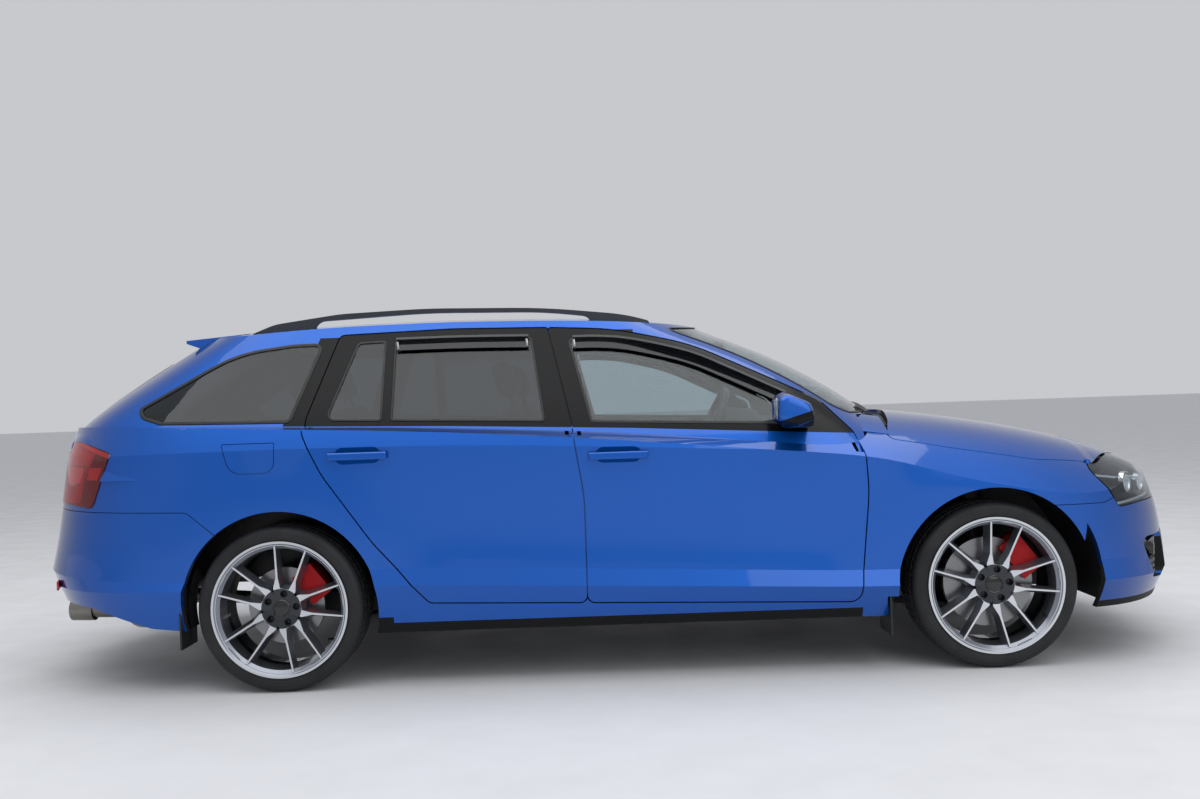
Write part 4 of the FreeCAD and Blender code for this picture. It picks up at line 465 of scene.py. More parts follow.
# Extruded rubber of the seals: dull black, smooth enough for a soft highlight
SEAL_RUBBER = Grained("extruded_seal_rubber", "#0e0f10", 0.38, grain_mm=0.8, relief=0.06)
# Laminated float glass, faintly green
CLEAR_GLASS = Finish("laminated_float_glass", "#d3e0e2", 0.0, settings=GLASSY)
# Tempered glass of the front doors, a touch darker
DOOR_GLASS = Finish("green_tempered_glass", "#b9c8cd", 0.0, settings=GLASSY)
# Tinted tempered glass behind the front doors: smoky grey
DARK_GLASS = Finish("tinted_tempered_glass", "#5d686f", 0.0, settings=GLASSY)
# Smoked acrylic of the rain deflectors: almost black
SMOKED_ACRYLIC = Finish("smoked_acrylic", "#1d2126", 0.04,
                        settings=(("Transmission Weight", 0.6), ("IOR", 1.49)))
# Injection-moulded polycarbonate lens under a hard coat: clear, with a weaker shine than glass
CLEAR_LENS = Finish("clear_polycarbonate_lens", "#e4eaee", 0.0,
                    settings=(("Transmission Weight", 1.0), ("IOR", 1.33)))
# Acrylic lens over the rear lamps: thin, so its red is light
RED_LENS = Finish("red_acrylic_lens", "#f06a6e", 0.02, settings=ACRYLIC)
# Moulded acrylic lamp blocks with reflecting prisms on their backs
RED_BLOCK = Grained("red_prism_acrylic", "#c8101c", 0.12, settings=LACQUERED, grain_mm=5.0, relief=0.35,
                    patch=0.04)
PALE_BLOCK = Grained("frosted_clear_acrylic", "#e9dfd6", 0.22, settings=LACQUERED, grain_mm=5.0, relief=0.3)
MAROON_BLOCK = Grained("smoked_red_acrylic", "#5a1022", 0.15, settings=LACQUERED, grain_mm=7.0, relief=0.2)
# Vacuum-metallised plastic of the lamp bowls: a bright soft mirror
METALLISED = Grained("vacuum_metallised_plastic", "#d9dcdf", 0.1, 1.0, grain_mm=12.0, relief=0.04, patch=0.03)
# Silvered glass of the mirrors
SILVERED = Finish("silvered_mirror_glass", "#e8ecee", 0.01, 1.0)
# Vulcanised tyre rubber: dull black-grey with a powdery bloom
TYRE_RUBBER = Grained("vulcanised_tyre_rubber", "#17181b", 0.7, grain_mm=1.6, relief=0.15, patch=0.1)
# Cast iron, machined faces gone dull; the claws of the brakes are enamelled red
CLAW_RED = "#b3121a"
FRONT_IRON = Grained("dull_cast_iron_front", "#3a3a3b", 0.55, 0.4, grain_mm=2.2, relief=0.3, patch=0.15,
                     zones=FRONT_CLAW, zone_colour=CLAW_RED)
REAR_IRON = Grained("dull_cast_iron_rear", "#303031", 0.55, 0.4, grain_mm=2.2, relief=0.3, patch=0.15,
                    zones=REAR_CLAW, zone_colour=CLAW_RED)
CAST_IRON = Grained("dull_cast_iron", "#3a3a3b", 0.6, 0.7, grain_mm=2.2, relief=0.3, patch=0.15)
# Powder-coated steel of the underbody: satin black with orange peel
CHASSIS_BLACK = Grained("powder_coated_steel", "#1c1d1f", 0.5, 0.2, grain_mm=2.5, relief=0.12)
# Stainless exhaust pipe, lightly stained; the bright strips on the panes' upright edges are this steel too,
# as painted highlights of the black frames' rounded edges
STAINLESS = Grained("stained_stainless_steel", "#8c8984", 0.36, 1.0, grain_mm=3.0, relief=0.08, patch=0.14)
# Black zinc-plated wheel bolts, with a dark shine
BOLT_BLACK = Grained("black_zinc_steel", "#2b2c2f", 0.28, 0.9, grain_mm=1.5, relief=0.04)
# Satin graphite anodised aluminium of the roof rails
ANODISED = Grained("graphite_anodised_aluminium", "#4b4e54", 0.32, 0.85, grain_mm=0.8, relief=0.04)
# Soft-touch foam skin of the dashboard: matt with a pebble grain
DASH_SKIN = Grained("slush_moulded_dashboard_skin", "#1d1e20", 0.66, grain_mm=1.8, relief=0.3)
# Dyed leather of the steering wheel: satin, with a fine hide grain
WHEEL_LEATHER = Grained("dyed_wheel_leather", "#151516", 0.45, grain_mm=1.2, relief=0.3)
# Flat woven seat cloth in charcoal
SEAT_CLOTH = Woven("woven_charcoal_seat_cloth", "#3c3e43", 0.9, settings=(("Sheen Weight", 0.3),))
# Blank number plate: retroreflective film on aluminium, faintly beaded
PLATE_FILM = Grained("retroreflective_plate_film", "#e6e6e0", 0.35, settings=(("Coat Weight", 0.4),),
                     grain_mm=1.2, relief=0.08)
# Matt paint of the studio's floor, almost even
FLOOR_PAINT = Grained("pale_studio_floor", "#d8d9db", 0.6, grain_mm=4.0, relief=0.02)

PLAIN_DRESS: dict[str, Finish] = {
    "body_sides": SIDE_PAINT, "roof_panel": ROOF_PAINT, "front_wings": WING_PAINT, "bonnet": BLUE_PAINT,
    "front_bumper": FRONT_PAINT, "rear_bumper": REAR_PAINT, "tailgate": BLUE_PAINT, "fuel_flap": BLUE_PAINT,
    "door_front_right": DOOR_PAINT, "door_front_left": DOOR_PAINT, "door_rear_right": DOOR_PAINT,
    "door_rear_left": DOOR_PAINT, "mirror_right": MIRROR_PAINT, "mirror_left": MIRROR_PAINT,
    "floor_pan": CHASSIS_BLACK, "front_structure": CHASSIS_BLACK, "front_grille": BLACK_PLASTIC,
    "scuttle": BLACK_PLASTIC, "wipers": BLACK_PLASTIC, "mud_flaps": BLACK_PLASTIC, "windscreen": CLEAR_GLASS,
    "door_glass_front_right": DOOR_GLASS, "door_glass_front_left": DOOR_GLASS,
    "door_glass_rear_right": DARK_GLASS, "door_glass_rear_left": DARK_GLASS, "quarter_windows": DARK_GLASS,
    "tailgate_glass": DARK_GLASS, "roof_rails": ANODISED, "dashboard": DASH_SKIN,
    "steering_wheel": WHEEL_LEATHER, "engine_block": CAST_IRON, "exhaust": STAINLESS,
    "front_subframe": CHASSIS_BLACK, "rear_axle": REAR_IRON, "knuckle_right": FRONT_IRON,
    "knuckle_left": FRONT_IRON,
}


def dress(node: str, finish: Finish) -> None:
    """Gives a CAD node one finish in place of its packed one.

    Args:
        node: Name of the CAD node.
        finish: What it is made of.
    """
    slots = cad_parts[node].data.materials
    slots.clear()
    slots.append(finish.material())


def place_mesh(name: str, mesh: BMesh, finish: Finish, body: str,
               smooth_deg: float = 40.0, recalculate: bool = True) -> Object:
    """Turns a bmesh into a piece that rides on a body.

    Args:
        name: Name of the piece.
        mesh: Its shape in the car's frame, used up here.
        finish: What it is made of.
        body: CAD body that it moves with.
        smooth_deg: Edges under this angle are shaded smooth.
        recalculate: False where an open sheet's faces already point outwards.

    Returns:
        The new object.
    """
    bmesh.ops.remove_doubles(mesh, verts=mesh.verts[:], dist=1e-6)
    if recalculate:
        bmesh.ops.recalc_face_normals(mesh, faces=mesh.faces[:])
    for face in mesh.faces:
        face.smooth = True
    for edge in mesh.edges:
        edge.smooth = len(edge.link_faces) == 2 and edge.calc_face_angle(0.0) < math.radians(smooth_deg)
    data = bpy.data.meshes.new(name)
    mesh.to_mesh(data)
    mesh.free()
    data.materials.append(finish.material())
    piece = bpy.data.objects.new(name, data)
    bpy.context.scene.collection.objects.link(piece)
    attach(piece, body)
    log.info("%s: %d faces on %s", name, len(data.polygons), body)
    return piece


def walled(piece: Object, wall: float, outwards: float = -1.0) -> Object:
    """Gives an open sheet its wall.

    Args:
        piece: Object whose mesh is a sheet.
        wall: Thickness in metres.
        outwards: 1 to grow along the normals, -1 against them.

    Returns:
        The same object.
    """
    solid = piece.modifiers.new("wall", "SOLIDIFY")
    solid.thickness = wall
    solid.offset = outwards
    return piece


def shell_of(node: str) -> BMesh:
    """Copies a CAD node's mesh and joins its loose triangles.

    Args:
        node: Name of the CAD node.

    Returns:
        The merged copy.
    """
    mesh = bmesh.new()
    mesh.from_mesh(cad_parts[node].data)
    bmesh.ops.remove_doubles(mesh, verts=mesh.verts[:], dist=2e-5)
    mesh.normal_update()
    return mesh


def patch(node: str, facing: Triple, least: float, side: Side | None = None,
          planes: tuple[Plane, ...] = ()) -> BMesh:
    """Takes the part of a CAD node's skin that faces one way and lies beyond some planes.

    Args:
        node: Name of the CAD node.
        facing: Direction on the left side; its Y turns round on the right.
        least: Least cosine between a face's normal and that direction.
        side: Side to keep, or None for both.
        planes: Planes (normal, offset) for the left side that the patch lies beyond.

    Returns:
        The open sheet.
    """
    mesh = shell_of(node)
    flip = side.value if side else 1
    aim = Vector((facing[0], facing[1] * flip, facing[2])).normalized()
    away = [f for f in mesh.faces if f.normal.dot(aim) < least
            or (side and f.calc_center_median().y * side.value < 0)]
    bmesh.ops.delete(mesh, geom=away, context="FACES")
    for (x, y, z), offset in planes:
        normal = Vector((x, y * flip, z))
        bmesh.ops.bisect_plane(mesh, geom=mesh.verts[:] + mesh.edges[:] + mesh.faces[:], dist=1e-6,
                               plane_co=normal * (offset / normal.length_squared), plane_no=normal,
                               clear_inner=True)
    mesh.normal_update()
    return mesh


def lift(mesh: BMesh, height: float) -> BMesh:
    """Moves a sheet along its normals.

    Args:
        mesh: The sheet.
        height: How far out, in metres.

    Returns:
        The same sheet.
    """
    mesh.normal_update()
    moves = [(vert, vert.normal.copy()) for vert in mesh.verts]
    for vert, normal in moves:
        vert.co += normal * height
    return mesh


def block(mesh: BMesh, low: Point, high: Point, edge: float = 0.0,
          segments: int = 2) -> list[BMVert]:
    """Adds a box with rounded edges to a bmesh.

    Args:
        mesh: The bmesh.
        low: Its lowest corner.
        high: Its highest corner.
        edge: Radius of the edges.
        segments: Steps in the rounding.

    Returns:
        The box's vertices.
    """
    size = Vector(high) - Vector(low)
    middle = (Vector(high) + Vector(low)) / 2
    made = bmesh.ops.create_cube(mesh, size=1.0,
                                 matrix=Matrix.Translation(middle) @ Matrix.Diagonal((*size, 1.0)))
    verts = made["verts"]
    if edge:
        edges = list({e for v in verts for e in v.link_edges})
        rounded = bmesh.ops.bevel(mesh, geom=edges, offset=edge, segments=segments, profile=0.5,
                                  affect="EDGES", material=-1)
        verts = list({v for f in rounded["faces"] for v in f.verts} | {v for v in verts if v.is_valid})
    return verts


def turned(mesh: BMesh, outline: Outline, place: Matrix, steps: int = 32) -> None:
    """Spins an outline of (radius, height) about the Z axis and puts it in place.

    Args:
        mesh: The bmesh that gets the shape.
        outline: Points from the axis or round a ring.
        place: Where the Z axis goes.
        steps: Steps round the turn.
    """
    before = set(mesh.verts)
    verts = [mesh.verts.new((r, 0.0, z)) for r, z in outline]
    edges = [mesh.edges.new(pair) for pair in zip(verts, verts[1:])]
    bmesh.ops.spin(mesh, geom=verts + edges, cent=(0, 0, 0), axis=(0, 0, 1), angle=math.tau, steps=steps,
                   use_merge=True)
    bmesh.ops.transform(mesh, matrix=place, verts=[v for v in mesh.verts if v not in before])


def towards(place: Point, aim: Point) -> Matrix:
    """Gives the placing whose Z axis looks along a direction.

    Args:
        place: Where its origin goes.
        aim: The direction.

    Returns:
        The matrix.
    """
    return Matrix.Translation(place) @ Vector(aim).to_track_quat("Z", "Y").to_matrix().to_4x4()


class Surface:
    """Skin of some CAD nodes that small pieces are set on."""

    def __init__(self, *nodes: str) -> None:
        """Keeps the nodes' faces for finding points on them."""
        mesh = bmesh.new()
        for node in nodes:
            mesh.from_mesh(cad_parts[node].data)
        self.tree = BVHTree.FromBMesh(mesh)
        mesh.free()

    def hit(self, start: Point, aim: Point) -> Vector:
        """Finds the first point of the skin along a ray.

        Args:
            start: Where the ray starts.
            aim: Its direction.

        Returns:
            The point, or the start where the ray meets nothing.
        """
        point = self.tree.ray_cast(Vector(start), Vector(aim))[0]
        return point if point else Vector(start)

    def foremost(self, y: float, z: float) -> Vector | None:
        """Gives the skin's point seen from ahead at one place, if there is one."""
        return self.tree.ray_cast(Vector((REACH, y, z)), Vector(BACKWARD))[0]

    def rearmost(self, y: float, z: float) -> Vector | None:
        """Gives the skin's point seen from behind at one place, if there is one."""
        return self.tree.ray_cast(Vector((-REACH, y, z)), Vector(FORWARD))[0]

    def nearest(self, point: Triple) -> Vector:
        """Gives the point of the skin that is nearest to a place."""
        return self.tree.find_nearest(Vector(point))[0]

    def beside(self, x: float, z: float, side: Side, start: float = 1.3, least: float = 0.5,
               near: float = 0.80) -> float:
        """Gives the Y of the skin at one place of the car's side, or of its nearest point over a gap.

        Args:
            x: Place along the car.
            z: Height.
            side: Side of the car.
            start: Distance from the middle at which the ray starts.
            least: Least distance from the middle of a point on this side.
            near: Distance from the middle at which the nearest point is looked for.

        Returns:
            The skin's Y.
        """
        found = self.tree.ray_cast(Vector((x, side.value * start, z)), Vector((0.0, -side.value, 0.0)))[0]
        if found and found.y * side.value > least:
            return found.y
        return self.nearest((x, side.value * near, z)).y


def flowing(points: Outline, steps: int = 5) -> list[Pair]:
    """Puts more points on a smooth curve through some points.

    Args:
        points: The points.
        steps: Spans between two of them.

    Returns:
        All points of the curve.
    """
    ends = (points[0], *points, points[-1])
    curve = []
    for a, b, c, d in zip(ends, ends[1:], ends[2:], ends[3:]):
        for number in range(steps):
            t = number / steps
            curve.append(tuple(
                q + 0.5 * t * (r - p + t * (2 * p - 5 * q + 4 * r - s + t * (3 * (q - r) + s - p)))
                for p, q, r, s in zip(a, b, c, d)))
    return curve + [points[-1]]


def ribbon(skin: Surface, line: list[Pair], rows: Outline, side: Side,
           wall: float = 0.002) -> BMesh:
    """Lays a strip on a skin along a line on the car's side.

    Args:
        skin: Skin that it lies on.
        line: Points (x, z) of the line.
        rows: Pairs (across, out): distance to the right of the line, and height over the skin.
        side: Side of the car.
        wall: Thickness of the strip.

    Returns:
        The closed strip.
    """
    mesh = bmesh.new()
    order = mesh.verts.layers.int.new("order")
    points = [Vector(point) for point in line]
    chain = [mesh.verts.new((point.x, 0.0, point.y)) for point in points]
    for number, vert in enumerate(chain):
        vert[order] = number
    edges = [mesh.edges.new(pair) for pair in zip(chain, chain[1:])]
    for number, (across, out) in enumerate(rows):
        if number:
            made = bmesh.ops.extrude_edge_only(mesh, edges=edges)["geom"]
            edges = [g for g in made if isinstance(g, BMEdge)]
            chain = [g for g in made if isinstance(g, BMVert)]
        for vert in chain:
            here = vert[order]
            along = (points[min(here + 1, len(points) - 1)] - points[max(here - 1, 0)]).normalized()
            x, z = points[here].x + along.y * across, points[here].y - along.x * across
            vert.co = (x, skin.beside(x, z, side) + side.value * out, z)
    bmesh.ops.recalc_face_normals(mesh, faces=mesh.faces[:])
    bmesh.ops.solidify(mesh, geom=mesh.faces[:], thickness=wall)
    return mesh


@dataclass
class Wheel:
    """Tyre with a grooved tread, wheel bolts, cap and valve, on one CAD wheel."""

    end: End
    side: Side
    steps: int = 180
    crown_radius: float = 0.3100
    rib_half: float = 0.016
    groove_every: int = 3
    groove_edge: float = 0.0028
    groove_depth: float = 0.005
    bolt_count: int = 5
    bolt_circle: float = 0.056
    bolt_turn_deg: float = -78.7
    bolt_out: float = 0.070
    bolt_radius: float = 0.0088
    bolt_length: float = 0.014
    bolt_edge: float = 0.0012
    valve_turn_deg: float = 33.0
    valve_circle: float = 0.222
    valve_out: float = 0.075
    cap_out: float = 0.084

    # Half of the tyre's section as (radius, across), from the bead to the middle of the tread
    half_section: ClassVar[Outline] = (
        (0.2404, 0.0), (0.2404, 0.1040), (0.2560, 0.1075), (0.2585, 0.1108), (0.2640, 0.1122),
        (0.2652, 0.1110), (0.2740, 0.1124), (0.2752, 0.1114), (0.2850, 0.1112), (0.2860, 0.1100),
        (0.2940, 0.1082), (0.3005, 0.1040), (0.3055, 0.0985), (0.3090, 0.0915), (0.3104, 0.0860),
        (0.3113, 0.0560), (0.3045, 0.0550), (0.3045, 0.0470), (0.3117, 0.0460), (0.3120, 0.0150),
        (0.3050, 0.0140), (0.3050, 0.0060), (0.3120, 0.0050), (0.3120, 0.0))
    pocket_outline: ClassVar[Outline] = ((0.0118, -0.004), (0.0118, 0.0), (0.0095, 0.0015))
    valve_outline: ClassVar[Outline] = (
        (0.0, 0.034), (0.0030, 0.034), (0.0042, 0.032), (0.0042, 0.018), (0.0030, 0.017), (0.0048, 0.010),
        (0.0048, -0.004))
    cap_outline: ClassVar[Outline] = (
        (0.0, 0.0045), (0.018, 0.0040), (0.0265, 0.0022), (0.0285, 0.0052), (0.0315, 0.0060),
        (0.0340, 0.0042), (0.0348, -0.002))

    def __post_init__(self) -> None:
        """Finds the wheel's name, centre and axle from its CAD tyre."""
        self.label = f"{self.end.value}_{self.side.label}"
        low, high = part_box(f"tyre_{self.label}")
        self.centre = (Vector(low) + Vector(high)) / 2
        self.outwards = (0.0, self.side.value, 0.0)

    def build(self) -> None:
        """Makes the tyre and the small parts and dresses the wheel."""
        hub = (self.centre.x, abs(self.centre.y), self.centre.z)
        dress(f"rim_{self.label}", MachinedWheel(f"machined_wheel_{self.end.value}", "#34373c", 0.3, 0.85,
                                                 (("Coat Weight", 0.5),), hub=hub))
        body = f"wheel_{self.label}"
        piece = place_mesh(f"tread_{self.label}", self.tyre(), TYRE_RUBBER, body, 30.0)
        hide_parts(f"tyre_{self.label}")
        place_mesh(f"wheel_bolts_{self.label}", self.bolts(), BOLT_BLACK, body)
        place_mesh(f"wheel_cap_{self.label}", self.cap(), GLOSS_BLACK, body)

    def tyre(self) -> BMesh:
        """Turns the tyre from half its section and sinks the tread's cross grooves.

        Returns:
            The tyre in its place.
        """
        half = self.half_section
        outline = half + tuple((r, -y) for r, y in reversed(half[1:-1])) + (half[0],)
        mesh = bmesh.new()
        turned(mesh, outline, Matrix.Identity(4), self.steps)
        bmesh.ops.remove_doubles(mesh, verts=mesh.verts[:], dist=1e-6)
        bmesh.ops.recalc_face_normals(mesh, faces=mesh.faces[:])
        sunk = [f for f in mesh.faces if self.grooved(f.calc_center_median())]
        bmesh.ops.inset_individual(mesh, faces=sunk, thickness=self.groove_edge, depth=-self.groove_depth,
                                   use_even_offset=True)
        bmesh.ops.transform(mesh, matrix=towards(self.centre, self.outwards), verts=mesh.verts[:])
        return mesh

    def grooved(self, middle: Vector) -> bool:
        """Tells whether a face of the tread is a cross groove, by its middle about the wheel's own axis."""
        step = int(round(math.atan2(middle.y, middle.x) / math.tau * self.steps - 0.5)) % self.steps
        outer = math.hypot(middle.x, middle.y) > self.crown_radius
        return outer and abs(middle.z) > self.rib_half and (step + (middle.z > 0)) % self.groove_every == 0

    def spot(self, circle: float, turn: float, out: float) -> Vector:
        """Gives a point on a circle about the axle, some way out from the wheel's middle.

        Args:
            circle: Radius of the circle.
            turn: Angle round it.
            out: Distance outwards.

        Returns:
            The point.
        """
        y = self.side.value * out
        return self.centre + Vector((circle * math.cos(turn), y, -circle * math.sin(turn)))

    def bolts(self) -> BMesh:
        """Makes the hexagon bolts in their pockets and the valve.

        Returns:
            The bolts and the valve.
        """
        mesh = bmesh.new()
        for number in range(self.bolt_count):
            turn = math.radians(360.0 / self.bolt_count * number + self.bolt_turn_deg)
            place = towards(self.spot(self.bolt_circle, turn, self.bolt_out), self.outwards)
            made = bmesh.ops.create_cone(mesh, cap_ends=True, segments=6, radius1=self.bolt_radius,
                                         radius2=self.bolt_radius, depth=self.bolt_length, matrix=place)
            edges = list({e for v in made["verts"] for e in v.link_edges})
            bmesh.ops.bevel(mesh, geom=edges, offset=self.bolt_edge, segments=2, profile=0.5, affect="EDGES",
                            material=-1)
            turned(mesh, self.pocket_outline, place, 20)
        foot = self.spot(self.valve_circle, math.radians(self.valve_turn_deg), self.valve_out)
        turned(mesh, self.valve_outline, towards(foot, (-0.25, self.side.value, 0.16)), 16)
        return mesh

    def cap(self) -> BMesh:
        """Turns the plain centre cap, a shallow dish in a ring.

        Returns:
            The cap.
        """
        mesh = bmesh.new()
        turned(mesh, self.cap_outline, towards(self.spot(0.0, 0.0, self.cap_out), self.outwards), 40)
        return mesh


@dataclass
class Windows:
    """Rubber seals round the panes, rain deflectors over the doors, black borders on the glass and bright
    strips on the panes' upright edges as painted highlights.
    """

    facing_side: Triple = (0.0, 1.0, 0.25)
    facing_front: Triple = (1.0, 0.0, 1.0)
    facing_rear: Triple = (-1.0, 0.0, 0.4)
    least_facing: float = 0.5
    seal_width: float = 0.009
    wide_seal: float = 0.013
    seal_lift: float = 0.0045
    seal_wall: float = 0.005
    seal_edge: float = 0.0018
    border: float = 0.028
    border_lift: float = 0.0006
    border_wall: float = 0.0005
    deflector_wall: float = 0.003
    clip_half: Triple = (0.004, 0.004, 0.016)
    clip_edge: float = 0.0015
    clip_out: float = 0.018
    clip_lean_deg: float = -8.0

    # Deflector's section as (across, out), from the pane's upper edge down
    deflector_rows: ClassVar[Outline] = (
        (-0.011, 0.007), (-0.002, 0.0125), (0.012, 0.0155), (0.040, 0.0175))
    strip_rows: ClassVar[Outline] = ((0.002, 0.0035), (0.0065, 0.0035))
    # Points (x, z) on the side of the car
    upper_edges: ClassVar[dict[End, Outline]] = {
        End.FRONT: ((-0.118, 1.300), (-0.023, 1.299), (0.094, 1.287), (0.253, 1.250), (0.362, 1.215),
                    (0.474, 1.163), (0.621, 1.091), (0.690, 1.057)),
        End.REAR: ((-0.806, 1.314), (-0.550, 1.315), (-0.290, 1.310))}
    clips: ClassVar[dict[End, Outline]] = {
        End.FRONT: ((-0.112, 1.279),), End.REAR: ((-0.800, 1.292), (-0.296, 1.288))}
    # Lines (x, z) of the bright strips: painted highlights of the black frames' rounded edges
    uprights: ClassVar[dict[End, tuple[Outline, ...]]] = {
        End.FRONT: (((-0.055, 0.978), (-0.091, 1.109), (-0.128, 1.255)),),
        End.REAR: (((-0.270, 1.264), (-0.251, 1.134), (-0.231, 0.990)),
                   ((-0.819, 1.012), (-0.818, 1.121), (-0.816, 1.262)),
                   ((-0.848, 1.290), (-0.849, 1.157), (-0.851, 1.020)),
                   ((-1.058, 1.046), (-1.025, 1.138), (-0.966, 1.292)))}

    def build(self) -> None:
        """Makes the seals, borders and deflectors of every pane."""
        for side in Side:
            for end in End:
                label = f"{end.value}_{side.label}"
                self.seal(f"door_glass_{label}", f"{end.value}_door_{side.label}", self.facing_side, side)
                self.deflector(end, side)
                self.edge_strips(end, side)
            self.seal("quarter_windows", "body", self.facing_side, side, self.wide_seal)
        self.frit("windscreen", "body", self.facing_front)
        self.frit("tailgate_glass", "tailgate", self.facing_rear)
        self.seal("tailgate_glass", "tailgate", self.facing_rear, None)
        self.seal("windscreen", "body", self.facing_front, None)

    def ring(self, mesh: BMesh, width: float, height: float) -> BMesh:
        """Keeps a band along the edge of a sheet and lifts it.

        Args:
            mesh: The sheet.
            width: Width of the band.
            height: How far it is lifted.

        Returns:
            The band.
        """
        pane = mesh.faces[:]
        bmesh.ops.inset_region(mesh, faces=pane, thickness=width, use_boundary=True, use_even_offset=True)
        bmesh.ops.delete(mesh, geom=[f for f in pane if f.is_valid], context="FACES")
        return lift(mesh, height)

    def seal(self, node: str, body: str, facing: Triple, side: Side | None, width: float = 0.0) -> None:
        """Lays a raised rubber ring along a pane's edge.

        Args:
            node: Pane's node.
            body: Body that it rides on.
            facing: Way that the pane faces on the left side.
            side: Side of the pane, or None at an end of the car.
            width: Width of the ring, or 0 for the usual one.
        """
        pane = patch(node, facing, self.least_facing, side)
        mesh = self.ring(pane, width or self.seal_width, self.seal_lift)
        name = f"seal_{node}" + (f"_{side.label}" if side and node == "quarter_windows" else "")
        piece = place_mesh(name, mesh, SEAL_RUBBER, body, recalculate=False)
        walled(piece, self.seal_wall)
        bevel = piece.modifiers.new("edge", "BEVEL")
        bevel.width = self.seal_edge
        bevel.segments = 2

    def frit(self, node: str, body: str, facing: Triple) -> None:
        """Prints the black border on the inner side of a pane.

        Args:
            node: Pane's node.
            body: Body that it rides on.
            facing: Way that the pane faces.
        """
        inwards = tuple(-c for c in facing)
        mesh = self.ring(patch(node, inwards, self.least_facing), self.border, self.border_lift)
        piece = place_mesh(f"border_{node}", mesh, GLOSS_BLACK, body, recalculate=False)
        walled(piece, self.border_wall, 1.0)

    def deflector(self, end: End, side: Side) -> None:
        """Bends a smoked strip over a door's glass along its upper edge, held by bright clips.

        Args:
            end: Front or rear door.
            side: Side of the car.
        """
        label, body = f"{end.value}_{side.label}", f"{end.value}_door_{side.label}"
        pane = Surface(f"door_glass_{label}")
        mesh = ribbon(pane, flowing(self.upper_edges[end]), self.deflector_rows, side, self.deflector_wall)
        place_mesh(f"rain_deflector_{label}", mesh, SMOKED_ACRYLIC, body, 50.0)
        clips, half = bmesh.new(), Vector(self.clip_half)
        lean = Matrix.Rotation(math.radians(self.clip_lean_deg), 3, "Y")
        for x, z in self.clips[end]:
            place = Vector((x, pane.beside(x, z, side) + side.value * self.clip_out, z))
            made = block(clips, place - half, place + half, self.clip_edge, 2)
            bmesh.ops.rotate(clips, verts=made, cent=place, matrix=lean)
        place_mesh(f"deflector_clips_{label}", clips, METALLISED, body)

    def edge_strips(self, end: End, side: Side) -> None:
        """Lays thin bright strips along the upright edges of a door's panes, as painted highlights of the
        black frames' rounded edges.

        Args:
            end: Front or rear door.
            side: Side of the car.
        """
        pane = Surface(f"door_glass_{end.value}_{side.label}")
        for number, ends in enumerate(self.uprights[end]):
            mesh = ribbon(pane, flowing(ends, 8), self.strip_rows, side)
            place_mesh(f"edge_strip_{end.value}_{number}_{side.label}", mesh, STAINLESS,
                       f"{end.value}_door_{side.label}")


